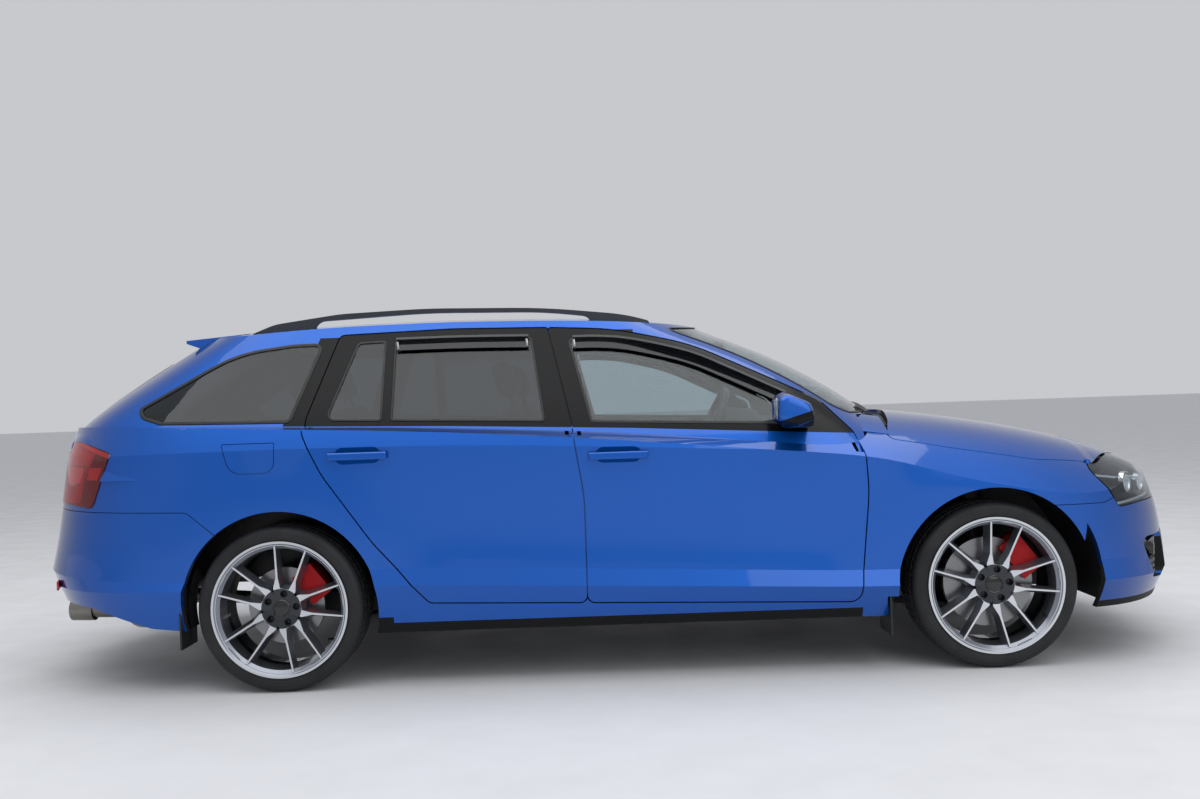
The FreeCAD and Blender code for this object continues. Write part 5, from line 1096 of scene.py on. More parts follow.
@dataclass
class FrontLamps:
    """Headlamps and fog lamps, each a clear lens over its bowls."""

    facing: Triple = (0.8, 0.6, 0.2)
    least_facing: float = 0.35
    bezel_edge: float = 0.005
    bezel_depth: float = 0.032
    lens_wall: float = 0.003
    lens_lift: float = 0.0002
    bar_sink: float = 0.012
    bar_wall: float = 0.006
    bowl_sink: Pair = (0.010, 0.022)
    bowl_aim: Triple = (0.72, 0.68, 0.05)
    fog_place: Triple = (0.034, 0.660, 0.412)
    fog_edge: float = 0.470
    fog_shift: Pair = (0.012, 0.004)
    fog_aim: Pair = (0.9, 0.42)

    # Bowls as (x, z, radius), and their sections in shares of that radius
    bowls: ClassVar[tuple[Triple, ...]] = ((1.995, 0.672, 0.036), (2.095, 0.662, 0.030))
    reflector_shares: ClassVar[Outline] = (
        (0.0, -0.012), (0.5, -0.009), (0.9, 0.0), (1.0, 0.008), (1.12, 0.008), (1.12, -0.010))
    bulb_shares: ClassVar[Outline] = ((0.0, 0.012), (0.35, 0.010), (0.6, 0.002), (0.62, -0.010))
    bars: ClassVar[dict[str, tuple[Plane, ...]]] = {
        "upper_bar": (((0.12, 0.0, 1.0), 0.930), ((-0.12, 0.0, -1.0), -0.938)),
        "lower_bar": (((-0.10, 0.0, 1.0), 0.398), ((0.10, 0.0, -1.0), -0.408))}
    fog_ring: ClassVar[Outline] = (
        (0.030, 0.010), (0.033, 0.016), (0.040, 0.014), (0.043, 0.0), (0.043, -0.016))
    fog_bowl: ClassVar[Outline] = ((0.0, -0.012), (0.016, -0.008), (0.028, 0.004), (0.032, 0.012))
    fog_bulb: ClassVar[Outline] = ((0.0, 0.004), (0.009, 0.002), (0.012, -0.008))
    fog_glass: ClassVar[Outline] = ((0.0, 0.0175), (0.015, 0.0165), (0.0305, 0.012))

    def build(self) -> None:
        """Makes both headlamps and both fog lamps."""
        for side in Side:
            self.housing(side)
            self.headlamp_lens(side)
            self.headlamp_bowls(side)
            self.headlamp_bars(side)
            self.fog_lamp(side)

    def housing(self, side: Side) -> None:
        """Sinks the headlamp's front into a dark bezel.

        Args:
            side: Side of the car.
        """
        mesh = shell_of("headlamps")
        far = [f for f in mesh.faces if f.calc_center_median().y * side.value < 0]
        bmesh.ops.delete(mesh, geom=far, context="FACES")
        aim = Vector((self.facing[0], self.facing[1] * side.value, self.facing[2])).normalized()
        front = [f for f in mesh.faces if f.normal.dot(aim) > self.least_facing]
        bmesh.ops.inset_region(mesh, faces=front, thickness=self.bezel_edge, depth=-self.bezel_depth,
                               use_boundary=True, use_even_offset=True)
        piece = place_mesh(f"headlamp_housing_{side.label}", mesh, BLACK_PLASTIC, "body", 30.0,
                           False)
        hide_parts("headlamps")

    def headlamp_lens(self, side: Side) -> None:
        """Covers a headlamp with its clear lens, on the CAD skin."""
        mesh = lift(patch("headlamps", self.facing, self.least_facing, side), self.lens_lift)
        walled(place_mesh(f"headlamp_lens_{side.label}", mesh, CLEAR_LENS, "body",
                          recalculate=False), self.lens_wall)

    def headlamp_bowls(self, side: Side) -> None:
        """Sets the bright bowls with their bulb shields behind a headlamp's lens.

        Args:
            side: Side of the car.
        """
        skin, mesh = Surface("headlamps"), bmesh.new()
        back, inner = self.bowl_sink
        for x, z, radius in self.bowls:
            at = skin.hit((x, side.value * 1.2, z), (0.0, -side.value, 0.0))
            spot = towards(at + Vector((-back, -side.value * inner, 0.0)),
                           (self.bowl_aim[0], side.value * self.bowl_aim[1], self.bowl_aim[2]))
            for shares in (self.reflector_shares, self.bulb_shares):
                turned(mesh, tuple((radius * share, height) for share, height in shares), spot)
        place_mesh(f"headlamp_bowls_{side.label}", mesh, METALLISED, "body")

    def headlamp_bars(self, side: Side) -> None:
        """Lays the bright bars above and below a headlamp's bowls.

        Args:
            side: Side of the car.
        """
        for name, planes in self.bars.items():
            bar = lift(patch("headlamps", self.facing, self.least_facing, side, planes), -self.bar_sink)
            piece = place_mesh(f"headlamp_{name}_{side.label}", bar, METALLISED, "body",
                               recalculate=False)
            walled(piece, self.bar_wall)

    def fog_lamp(self, side: Side) -> None:
        """Makes one fog lamp: a bright bowl in a black ring, at the top of the side intake.

        Args:
            side: Side of the car.
        """
        sink, y, z = self.fog_place
        front = Surface("front_bumper").foremost(side.value * y, self.fog_edge)
        centre = Vector((front.x - sink + self.fog_shift[0], side.value * (y + self.fog_shift[1]), z))
        spot = towards(centre, (self.fog_aim[0], side.value * self.fog_aim[1], 0.0))
        ring, bowl, glass = bmesh.new(), bmesh.new(), bmesh.new()
        turned(ring, self.fog_ring, spot)
        place_mesh(f"fog_lamp_ring_{side.label}", ring, GLOSS_BLACK, "body")
        turned(bowl, self.fog_bowl, spot)
        turned(bowl, self.fog_bulb, spot)
        place_mesh(f"fog_lamp_bowl_{side.label}", bowl, METALLISED, "body")
        turned(glass, self.fog_glass, spot)
        walled(place_mesh(f"fog_lamp_glass_{side.label}", glass, CLEAR_LENS, "body"), 0.002)


@dataclass
class RearLamps:
    """Rear lamps on the body and on the tailgate: red and pale blocks behind a thin red lens."""

    facing: Triple = (-0.8, 0.6, 0.15)
    least_facing: float = 0.3
    block_wall: float = 0.006
    lens_lift: float = 0.0042
    lens_wall: float = 0.002

    rear_half: ClassVar[Plane] = ((-1.0, 0.0, 0.3675), 2.2875)
    front_half: ClassVar[Plane] = ((1.0, 0.0, -0.3675), -2.2800)
    # Blocks as (name, finish, planes round it, height over the housing)
    light_blocks: ClassVar[tuple[tuple[str, Finish, tuple[Plane, ...], float], ...]] = (
        ("upper_strip", PALE_BLOCK, (((0.306, 0.0, 1.0), 0.3240), ((-0.306, 0.0, -1.0), -0.3400)), 0.0012),
        ("upper_red", RED_BLOCK, ((UP, 0.868), ((-0.306, 0.0, -1.0), -0.3200), rear_half), 0.0016),
        ("pale_block", PALE_BLOCK, ((UP, 0.800), (DOWN, -0.862), ((-1.0, 0.0, 0.3675), 2.3100)), 0.0016),
        ("front_pale", PALE_BLOCK, ((UP, 0.815), (DOWN, -0.862), front_half, ((-1.0, 0.0, 0.551), 2.3780)),
         0.0010),
        ("lower_red", RED_BLOCK, ((UP, 0.728), (DOWN, -0.793), rear_half), 0.0016),
        ("slanted_bar", RED_BLOCK, (((1.0, 0.0, -0.6), -2.4960), ((-1.0, 0.0, 0.6), 2.4790), (UP, 0.728),
                                    ((-0.306, 0.0, -1.0), -0.3240)), 0.0030))

    def build(self) -> None:
        """Makes the blocks and the lenses of both sides."""
        dress("tail_lamps", MAROON_BLOCK)
        dress("tailgate_lamps", MAROON_BLOCK)
        for side in Side:
            for node, body in (("tail_lamps", "body"), ("tailgate_lamps", "tailgate")):
                self.lamp(node, body, side)

    def lamp(self, node: str, body: str, side: Side) -> None:
        """Sets the light blocks on one lamp, as far as they reach it, and covers them.

        Args:
            node: Lamp's node.
            body: Body that it rides on.
            side: Side of the car.
        """
        for name, finish, planes, height in self.light_blocks:
            mesh = lift(patch(node, self.facing, self.least_facing, side, planes), height)
            if not mesh.faces:
                mesh.free()
                continue
            piece = place_mesh(f"{node}_{name}_{side.label}", mesh, finish, body,
                               recalculate=False)
            walled(piece, self.block_wall)
        mesh = lift(patch(node, self.facing, self.least_facing, side), self.lens_lift)
        lens = place_mesh(f"{node}_lens_{side.label}", mesh, RED_LENS, body, recalculate=False)
        walled(lens, self.lens_wall)


@dataclass
class FrontTrim:
    """Bars of the upper opening, honeycombs of the lower ones and the blank front plate."""

    cell: float = 0.026
    wire: float = 0.0035
    cell_depth: float = 0.009
    lip_sink: float = 0.008
    centre_ends: Pair = (-0.42, 0.42)
    centre_heights: Pair = (0.310, 0.462)
    side_ends: Pair = (0.556, 0.742)
    side_heights: Pair = (0.296, 0.462)
    intake_edge: float = 0.470
    intake_depth: float = 0.036
    intake_middle: Pair = (0.651, 0.377)
    intake_size: Pair = (0.200, 0.186)
    intake_back: float = 0.004
    wall: float = 0.003
    opening_foot: float = 0.612
    opening_height: float = 0.130
    opening_lean: float = 0.128
    face_below: float = 0.008
    wall_width: float = 0.750
    wall_sink: float = 0.026
    wall_drop: float = 0.01
    bar_count: int = 36
    bars_width: float = 0.715
    bar_sink: float = 0.012
    bar_shorter: float = 0.012
    bar_apart: float = 0.0045
    bar_half: float = 0.0017
    bar_depth: float = 0.010
    bar_edge: float = 0.0008
    plate_face: float = 2.33
    plate_height: float = 0.395

    def build(self) -> None:
        """Makes the front's small pieces."""
        self.grille = Surface("front_grille")
        self.bumper = Surface("front_bumper")
        self.upper_opening()
        self.honeycomb("lower", self.centre_ends, self.centre_heights, self.centre_place)
        for side in Side:
            edges = tuple(sorted(side.value * y for y in self.side_ends))
            self.honeycomb(side.label, edges, self.side_heights, self.side_place)
            self.intake_wall(side)
        BlankPlate(End.FRONT, self.plate_face, self.plate_height).build()

    def centre_place(self, y: float, z: float) -> Vector | None:
        """Gives a point of the grille's own face where the bumper leaves it open."""
        at, front = self.grille.foremost(y, z), self.bumper.foremost(y, z)
        return at if at and (not front or at.x > front.x) else None

    def side_place(self, y: float, z: float) -> Vector:
        """Gives a point of a side intake, sunk behind the bumper's face."""
        return Vector((self.bumper.foremost(y, self.intake_edge).x - self.intake_depth, y, z))

    def intake_wall(self, side: Side) -> None:
        """Closes a side intake behind its honeycomb.

        Args:
            side: Side of the car.
        """
        mesh = bmesh.new()
        bmesh.ops.create_grid(mesh, x_segments=8, y_segments=8, size=0.5)
        for vert in mesh.verts:
            at = self.side_place(side.value * (self.intake_middle[0] + self.intake_size[0] * vert.co.x),
                                 self.intake_middle[1] + self.intake_size[1] * vert.co.y)
            vert.co = (at.x - self.intake_back, at.y, at.z)
        walled(place_mesh(f"intake_wall_{side.label}", mesh, BLACK_PLASTIC, "body"), self.wall)

    def foot(self, y: float) -> float:
        """Gives the X of the bumper's face just below the upper opening."""
        return self.bumper.foremost(y, self.opening_foot - self.face_below).x

    def upper_opening(self) -> None:
        """Stands thin upright double bars in the upper opening, before a black wall."""
        wall, bars = bmesh.new(), bmesh.new()
        bmesh.ops.create_grid(wall, x_segments=24, y_segments=2, size=0.5)
        for vert in wall.verts:
            y, share = self.wall_width * vert.co.x, vert.co.y + 0.5
            vert.co = (self.foot(y) - self.wall_sink - self.opening_lean * share, y,
                       self.opening_foot - self.wall_drop + self.opening_height * share)
        walled(place_mesh("grille_wall", wall, BLACK_PLASTIC, "body", 60.0), self.wall)
        turn = Matrix.Rotation(-math.atan2(self.opening_lean, self.opening_height), 4, "Y")
        length = math.hypot(self.opening_lean, self.opening_height) - self.bar_shorter
        for number in range(self.bar_count):
            y = self.bars_width * ((number + 0.5) / self.bar_count - 0.5)
            place = Matrix.Translation((self.foot(y) - self.bar_sink, 0.0, self.opening_foot)) @ turn
            for aside in (-self.bar_apart, self.bar_apart):
                made = block(bars, (-self.bar_depth, y + aside - self.bar_half, 0.0),
                             (0.0, y + aside + self.bar_half, length), self.bar_edge, 1)
                bmesh.ops.transform(bars, matrix=place, verts=made)
        place_mesh("grille_bars", bars, GLOSS_BLACK, "body")

    def honeycomb(self, name: str, ends: Pair, heights: Pair,
                  place: Callable[[float, float], Vector | None]) -> None:
        """Fills an opening with hexagonal cells that follow what is behind it.

        Args:
            name: Which opening.
            ends: Its ends across the car.
            heights: Its lowest and highest Z.
            place: Gives the point of the wall at a Y and Z, or None.
        """
        mesh = bmesh.new()
        row, z = 0, heights[0]
        while z < heights[1]:
            y = ends[0] + (self.cell / 2 if row % 2 else 0.0)
            while y < ends[1]:
                at = place(y, z)
                if at:
                    self.one_cell(mesh, at)
                y += self.cell
            z += self.cell * math.sqrt(3.0) / 2
            row += 1
        place_mesh(f"honeycomb_{name}", mesh, GLOSS_BLACK, "body", 20.0)

    def one_cell(self, mesh: BMesh, at: Vector) -> None:
        """Adds one hexagonal ring standing out of the wall.

        Args:
            mesh: The bmesh.
            at: Its place on the wall.
        """
        spot = Matrix.Translation(at) @ Matrix.Rotation(math.radians(90.0), 4, "Y")
        made = bmesh.ops.create_circle(mesh, cap_ends=True, segments=6, radius=self.cell / math.sqrt(3.0),
                                       matrix=spot)
        out = bmesh.ops.extrude_face_region(mesh, geom=[made["verts"][0].link_faces[0]])["geom"]
        moved = [g for g in out if isinstance(g, BMVert)]
        bmesh.ops.translate(mesh, verts=moved, vec=(self.cell_depth, 0.0, 0.0))
        top = [g for g in out if isinstance(g, BMFace)]
        bmesh.ops.inset_region(mesh, faces=top, thickness=self.wire, use_boundary=True)
        bmesh.ops.translate(mesh, verts=list({v for f in top for v in f.verts}),
                            vec=(-self.lip_sink, 0.0, 0.0))


@dataclass
class BlankPlate:
    """Blank number plate in a black holder, on the panel behind it."""

    end: End
    face: float
    height: float
    body: str = "body"
    holder_half: Pair = (0.266, 0.062)
    holder_depth: Pair = (-0.012, 0.005)
    holder_edge: float = 0.004
    sheet_half: Pair = (0.258, 0.054)
    sheet_depth: Pair = (0.0045, 0.0075)
    sheet_edge: float = 0.0012

    def build(self) -> None:
        """Makes the holder and the plate."""
        holder = self.slab(self.holder_half, self.holder_depth, self.holder_edge, 3)
        place_mesh(f"plate_holder_{self.end.value}", holder, BLACK_PLASTIC, self.body)
        sheet = self.slab(self.sheet_half, self.sheet_depth, self.sheet_edge, 2)
        place_mesh(f"blank_plate_{self.end.value}", sheet, PLATE_FILM, self.body)

    def slab(self, half: Pair, depth: Pair, edge: float, segments: int) -> BMesh:
        """Makes a rounded slab across the car's end.

        Args:
            half: Half its width and height.
            depth: How far its two faces stand out of the panel.
            edge: Radius of its edges.
            segments: Steps in the rounding.

        Returns:
            The slab.
        """
        out = 1.0 if self.end is End.FRONT else -1.0
        inner, outer = sorted(self.face + out * d for d in depth)
        mesh = bmesh.new()
        block(mesh, (inner, -half[0], self.height - half[1]), (outer, half[0], self.height + half[1]), edge,
              segments)
        return mesh


@dataclass
class BonnetCorners:
    """Painted corners beside the headlamps and the screen, and the gutter at the screen's foot."""

    step: float = 0.008
    wall: float = 0.003
    tuck: float = 0.0004
    front_area: Area = ((1.846, 2.112), (0.404, 0.745))
    lamp_edge: Plane = ((-1.37, -1.0, 0.0), -3.291)
    spine: float = 0.400
    front_section: float = 1.840
    nose: float = 2.040
    nose_slope: float = 0.41
    more_fall: float = 0.15
    more_from: float = 1.86
    more_over: float = 0.04
    rear_area: Area = ((0.986, 1.084), (0.600, 0.765))
    rear_section: float = 1.140
    wing_line: float = 0.820
    likely_heights: Pair = (0.6, 1.2)
    near_height: float = 0.80
    gutter_area: Area = ((1.000, 1.116), (-0.640, 0.640))
    gutter_height: float = 0.9505
    gutter_fall: float = 0.08
    seam_wall: float = 0.001

    seam_line: ClassVar[list[Pair]] = [(1.430, 0.729), (1.475, 0.7190), (1.520, 0.7095), (1.590, 0.6920)]
    seam_rows: ClassVar[Outline] = ((-0.012, 0.0003), (0.012, 0.0003))

    def build(self) -> None:
        """Makes the corners of both sides and the gutter."""
        self.skin = Surface("bonnet", "front_wings")
        for side in Side:
            front = self.grid(self.front_area, side, self.front_height)
            (x, y, z), offset = self.lamp_edge
            lamp = Vector((x, y * side.value, z))
            bmesh.ops.bisect_plane(front, geom=front.verts[:] + front.edges[:] + front.faces[:], dist=1e-6,
                                   plane_co=lamp * (offset / lamp.length_squared), plane_no=lamp,
                                   clear_inner=True)
            self.sheet(f"bonnet_corner_{side.label}", front, "bonnet")
            self.sheet(f"wing_corner_{side.label}", self.grid(self.rear_area, side, self.rear_height), "body")
            seam = ribbon(Surface("front_wings"), self.seam_line, self.seam_rows, side, self.seam_wall)
            place_mesh(f"wing_seam_{side.label}", seam, BLUE_PAINT, "body", 60.0)
        gutter = self.grid(self.gutter_area, Side.LEFT, self.gutter_place)
        walled(place_mesh("scuttle_gutter", gutter, BLACK_PLASTIC, "body", 60.0, False),
               self.wall)

    def sheet(self, name: str, mesh: BMesh, body: str) -> None:
        """Paints an open sheet and gives it its wall.

        Args:
            name: Name of the piece.
            mesh: The sheet.
            body: Body that it rides on.
        """
        walled(place_mesh(name, mesh, BLUE_PAINT, body, 60.0, False), self.wall)

    def grid(self, area: Area, side: Side,
             height: Callable[[float, float, Side], float]) -> BMesh:
        """Spreads an even grid over a rectangle and lifts it to a height.

        Args:
            area: Its ends along the car, and across the car on the left side.
            side: Side of the car.
            height: Gives Z at an X, a Y and a side.

        Returns:
            The open sheet, facing up.
        """
        mesh = bmesh.new()
        (x0, x1), (y0, y1) = area
        bmesh.ops.create_grid(mesh, x_segments=round((x1 - x0) / self.step),
                              y_segments=round((y1 - y0) / self.step), size=0.5)
        bmesh.ops.scale(mesh, verts=mesh.verts[:], vec=(x1 - x0, y1 - y0, 1.0))
        bmesh.ops.translate(mesh, verts=mesh.verts[:], vec=((x0 + x1) / 2, side.value * (y0 + y1) / 2, 0.0))
        for vert in mesh.verts:
            vert.co.z = height(vert.co.x, abs(vert.co.y), side)
        return mesh

    def top(self, x: float, y: float, side: Side) -> float:
        """Gives the height of the bonnet or wing at one place, or of the nearest edge over a gap."""
        found = self.skin.hit((x, side.value * y, 2.0), DOWN).z
        if self.likely_heights[0] < found < self.likely_heights[1]:
            return found
        return self.skin.nearest((x, side.value * y, self.near_height)).z

    def front_height(self, x: float, y: float, side: Side) -> float:
        """Carries the bonnet's own cross section on to the headlamp's inner edge."""
        ridge = self.top(min(x, self.nose), self.spine, side) - self.nose_slope * max(0.0, x - self.nose)
        fall = self.top(self.front_section, self.spine, side) - self.top(self.front_section, y, side)
        share = min(1.0, max(0.0, (x - self.more_from) / self.more_over))
        return ridge - fall * (1.0 + self.more_fall * share) - self.tuck

    def rear_height(self, x: float, y: float, side: Side) -> float:
        """Carries the bonnet's cross section back to the foot of the screen pillar."""
        rise = self.top(x, self.wing_line, side) - self.top(self.rear_section, self.wing_line, side)
        return self.top(self.rear_section, y, side) + rise - self.tuck

    def gutter_place(self, x: float, y: float, side: Side) -> float:
        """Gives the height of the gutter, which is the same along the car and on both sides."""
        return self.gutter_height - self.gutter_fall * y * y


@dataclass
class RearTrim:
    """Rear plate, reflectors, tail pipe tips and the rear wiper."""

    plate_height: float = 0.78
    reflector_place: Pair = (0.62, 0.40)
    reflector_half: Triple = (0.004, 0.075, 0.018)
    reflector_edge: float = 0.003
    reflector_turn_deg: float = -20.0
    pipe_place: Triple = (0.004, 0.34, 0.252)
    pipe_aim: Triple = (-1.0, 0.0, 0.03)
    wiper_gap: float = 0.004
    wiper_edge: float = 0.002
    hub_height: float = 1.022
    hub_aim: Triple = (-1.0, 0.0, 0.35)

    # Wiper's arm and blade as (left end, right end, thickness, height, Z)
    wiper_parts: ClassVar[tuple[tuple[float, ...], ...]] = (
        (-0.02, 0.30, 0.010, 0.012, 1.035), (0.0, 0.34, 0.006, 0.006, 1.046))
    hub_outline: ClassVar[Outline] = ((0.0, 0.026), (0.012, 0.024), (0.017, 0.016), (0.019, -0.004))
    tip_outline: ClassVar[Outline] = (
        (0.0440, -0.080), (0.0440, 0.010), (0.0460, 0.014), (0.0485, 0.012), (0.0490, 0.006),
        (0.0485, -0.080), (0.0440, -0.080))

    def build(self) -> None:
        """Makes the rear's small pieces."""
        gate = Surface("tailgate")
        faces = [gate.rearmost(y, self.plate_height + dz) for y in (-0.2, 0.0, 0.2) for dz in (-0.04, 0.04)]
        BlankPlate(End.REAR, min(at.x for at in faces if at), self.plate_height, "tailgate").build()
        bumper = Surface("rear_bumper")
        for side in Side:
            self.reflector(bumper, side)
            self.tail_tip(side)
        self.wiper()

    def reflector(self, bumper: Surface, side: Side) -> None:
        """Lets a red reflector into the bumper's corner.

        Args:
            bumper: The bumper's skin.
            side: Side of the car.
        """
        at = bumper.rearmost(side.value * self.reflector_place[0], self.reflector_place[1])
        mesh, (x, y, z) = bmesh.new(), self.reflector_half
        block(mesh, (-x, -y, -z), (x, y, z), self.reflector_edge, 3)
        turn = Matrix.Rotation(side.value * math.radians(self.reflector_turn_deg), 4, "Z")
        bmesh.ops.transform(mesh, matrix=Matrix.Translation(at) @ turn, verts=mesh.verts[:])
        place_mesh(f"rear_reflector_{side.label}", mesh, RED_BLOCK, "body")

    def tail_tip(self, side: Side) -> None:
        """Sleeves a tail pipe's end with a rolled bright tip.

        Args:
            side: Side of the car.
        """
        low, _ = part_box("exhaust")
        mesh, (inwards, y, z) = bmesh.new(), self.pipe_place
        turned(mesh, self.tip_outline, towards((low[0] + inwards, side.value * y, z), self.pipe_aim), 40)
        place_mesh(f"tail_pipe_tip_{side.label}", mesh, STAINLESS, "body")

    def wiper(self) -> None:
        """Lays the rear wiper's arm and blade across the foot of the rear window."""
        pane = Surface("tailgate_glass")
        mesh = bmesh.new()
        for left, right, thick, high, z in self.wiper_parts:
            x = min(pane.rearmost(y, z).x for y in (left, right)) - self.wiper_gap
            block(mesh, (x - thick, left, z - high / 2), (x, right, z + high / 2), self.wiper_edge, 2)
        turned(mesh, self.hub_outline, towards(pane.rearmost(0.0, self.hub_height), self.hub_aim), 24)
        place_mesh("rear_wiper", mesh, BLACK_PLASTIC, "tailgate")


@dataclass
class Mirrors:
    """Mirror shells and the glasses in their recesses."""

    voxel: float = 0.005
    rounds: int = 24
    glass_depth: Pair = (0.010, 0.014)
    glass_width: Pair = (0.893, 0.972)
    glass_height: Pair = (0.962, 1.040)
    glass_edge: float = 0.0018

    def build(self) -> None:
        """Makes the shell and the glass of both mirrors."""
        for side in Side:
            self.shell(side)
            self.glass(side)

    def shell(self, side: Side) -> None:
        """Rounds a mirror's moulded shell.

        Args:
            side: Side of the car.
        """
        mould = Pad(f"mirror_shell_{side.label}", (), voxel=self.voxel)
        mesh = bmesh.new()
        mesh.from_mesh(mould.melt(shell_of(f"mirror_{side.label}")))
        for _ in range(self.rounds):
            bmesh.ops.smooth_vert(mesh, verts=mesh.verts[:], factor=0.5, use_axis_x=True, use_axis_y=True,
                                  use_axis_z=True)
        piece = place_mesh(mould.name, mesh, MIRROR_PAINT, f"front_door_{side.label}", 60.0)
        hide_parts(f"mirror_{side.label}")

    def glass(self, side: Side) -> None:
        """Sets a silvered plate in the rear of a mirror's shell.

        Args:
            side: Side of the car.
        """
        low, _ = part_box(f"mirror_{side.label}")
        rear, front = (low[0] + depth for depth in self.glass_depth)
        lower, upper = sorted(side.value * y for y in self.glass_width)
        mesh = bmesh.new()
        foot, top = self.glass_height
        block(mesh, (rear, lower, foot), (front, upper, top), self.glass_edge, 2)
        place_mesh(f"mirror_glass_{side.label}", mesh, SILVERED, f"front_door_{side.label}")


@dataclass
class Pad:
    """Padded seat part: blocks melted into one cover and swelled by the pressure of its filling."""

    name: str
    blocks: tuple[tuple[Triple, Triple], ...]
    edge: float = 0.028
    voxel: float = 0.013
    cap: float = 0.013
    pressure: float = 4.0
    quality: int = 4
    vertex_mass: float = 0.3
    stiffness: float = 12.0
    frames: int = 20

    def cover(self) -> Mesh:
        """Makes the cover about its own origin.

        Returns:
            The cover's mesh.
        """
        mesh = bmesh.new()
        for low, high in self.blocks:
            block(mesh, low, high, self.edge, 3)
        melted = self.melt(mesh)
        flat = [v.co.copy() for v in melted.vertices]
        swelled = self.swell(melted)
        for vert, start in zip(swelled.vertices, flat):
            move = vert.co - start
            if move.length > self.cap:
                vert.co = start + move * (self.cap / move.length)
        return swelled

    def melt(self, mesh: BMesh) -> Mesh:
        """Joins the parts of a shape into one skin of even faces.

        Args:
            mesh: The shape, used up here.

        Returns:
            The skin.
        """
        data = bpy.data.meshes.new(self.name)
        mesh.to_mesh(data)
        mesh.free()
        work = self.workpiece(data)
        change = work.modifiers.new("melt", "REMESH")
        change.mode = "VOXEL"
        change.voxel_size = self.voxel
        return self.result(work)

    def swell(self, data: Mesh) -> Mesh:
        """Blows a skin up as cloth, from its flat state.

        Args:
            data: The skin.

        Returns:
            The swelled skin, whose vertices keep their order.
        """
        work = self.workpiece(data)
        change = work.modifiers.new("swell", "CLOTH")
        change.settings.quality = self.quality
        change.settings.mass = self.vertex_mass
        change.settings.tension_stiffness = self.stiffness
        change.settings.compression_stiffness = self.stiffness
        change.settings.use_pressure = True
        change.settings.uniform_pressure_force = self.pressure
        change.settings.effector_weights.gravity = 0.0
        change.point_cache.frame_start = 1
        change.point_cache.frame_end = self.frames
        for number in range(1, self.frames + 1):
            bpy.context.scene.frame_set(number)
        return self.result(work)

    def workpiece(self, data: Mesh) -> Object:
        """Links a working object that holds a mesh."""
        work = bpy.data.objects.new(f"{self.name}_work", data)
        bpy.context.scene.collection.objects.link(work)
        return work

    def result(self, work: Object) -> Mesh:
        """Takes the mesh that a working object's modifier makes, and removes the object.

        Args:
            work: The working object.

        Returns:
            The resulting mesh.
        """
        made = bpy.data.meshes.new_from_object(work.evaluated_get(bpy.context.evaluated_depsgraph_get()))
        bpy.data.objects.remove(work)
        bpy.context.scene.frame_set(1)
        return made


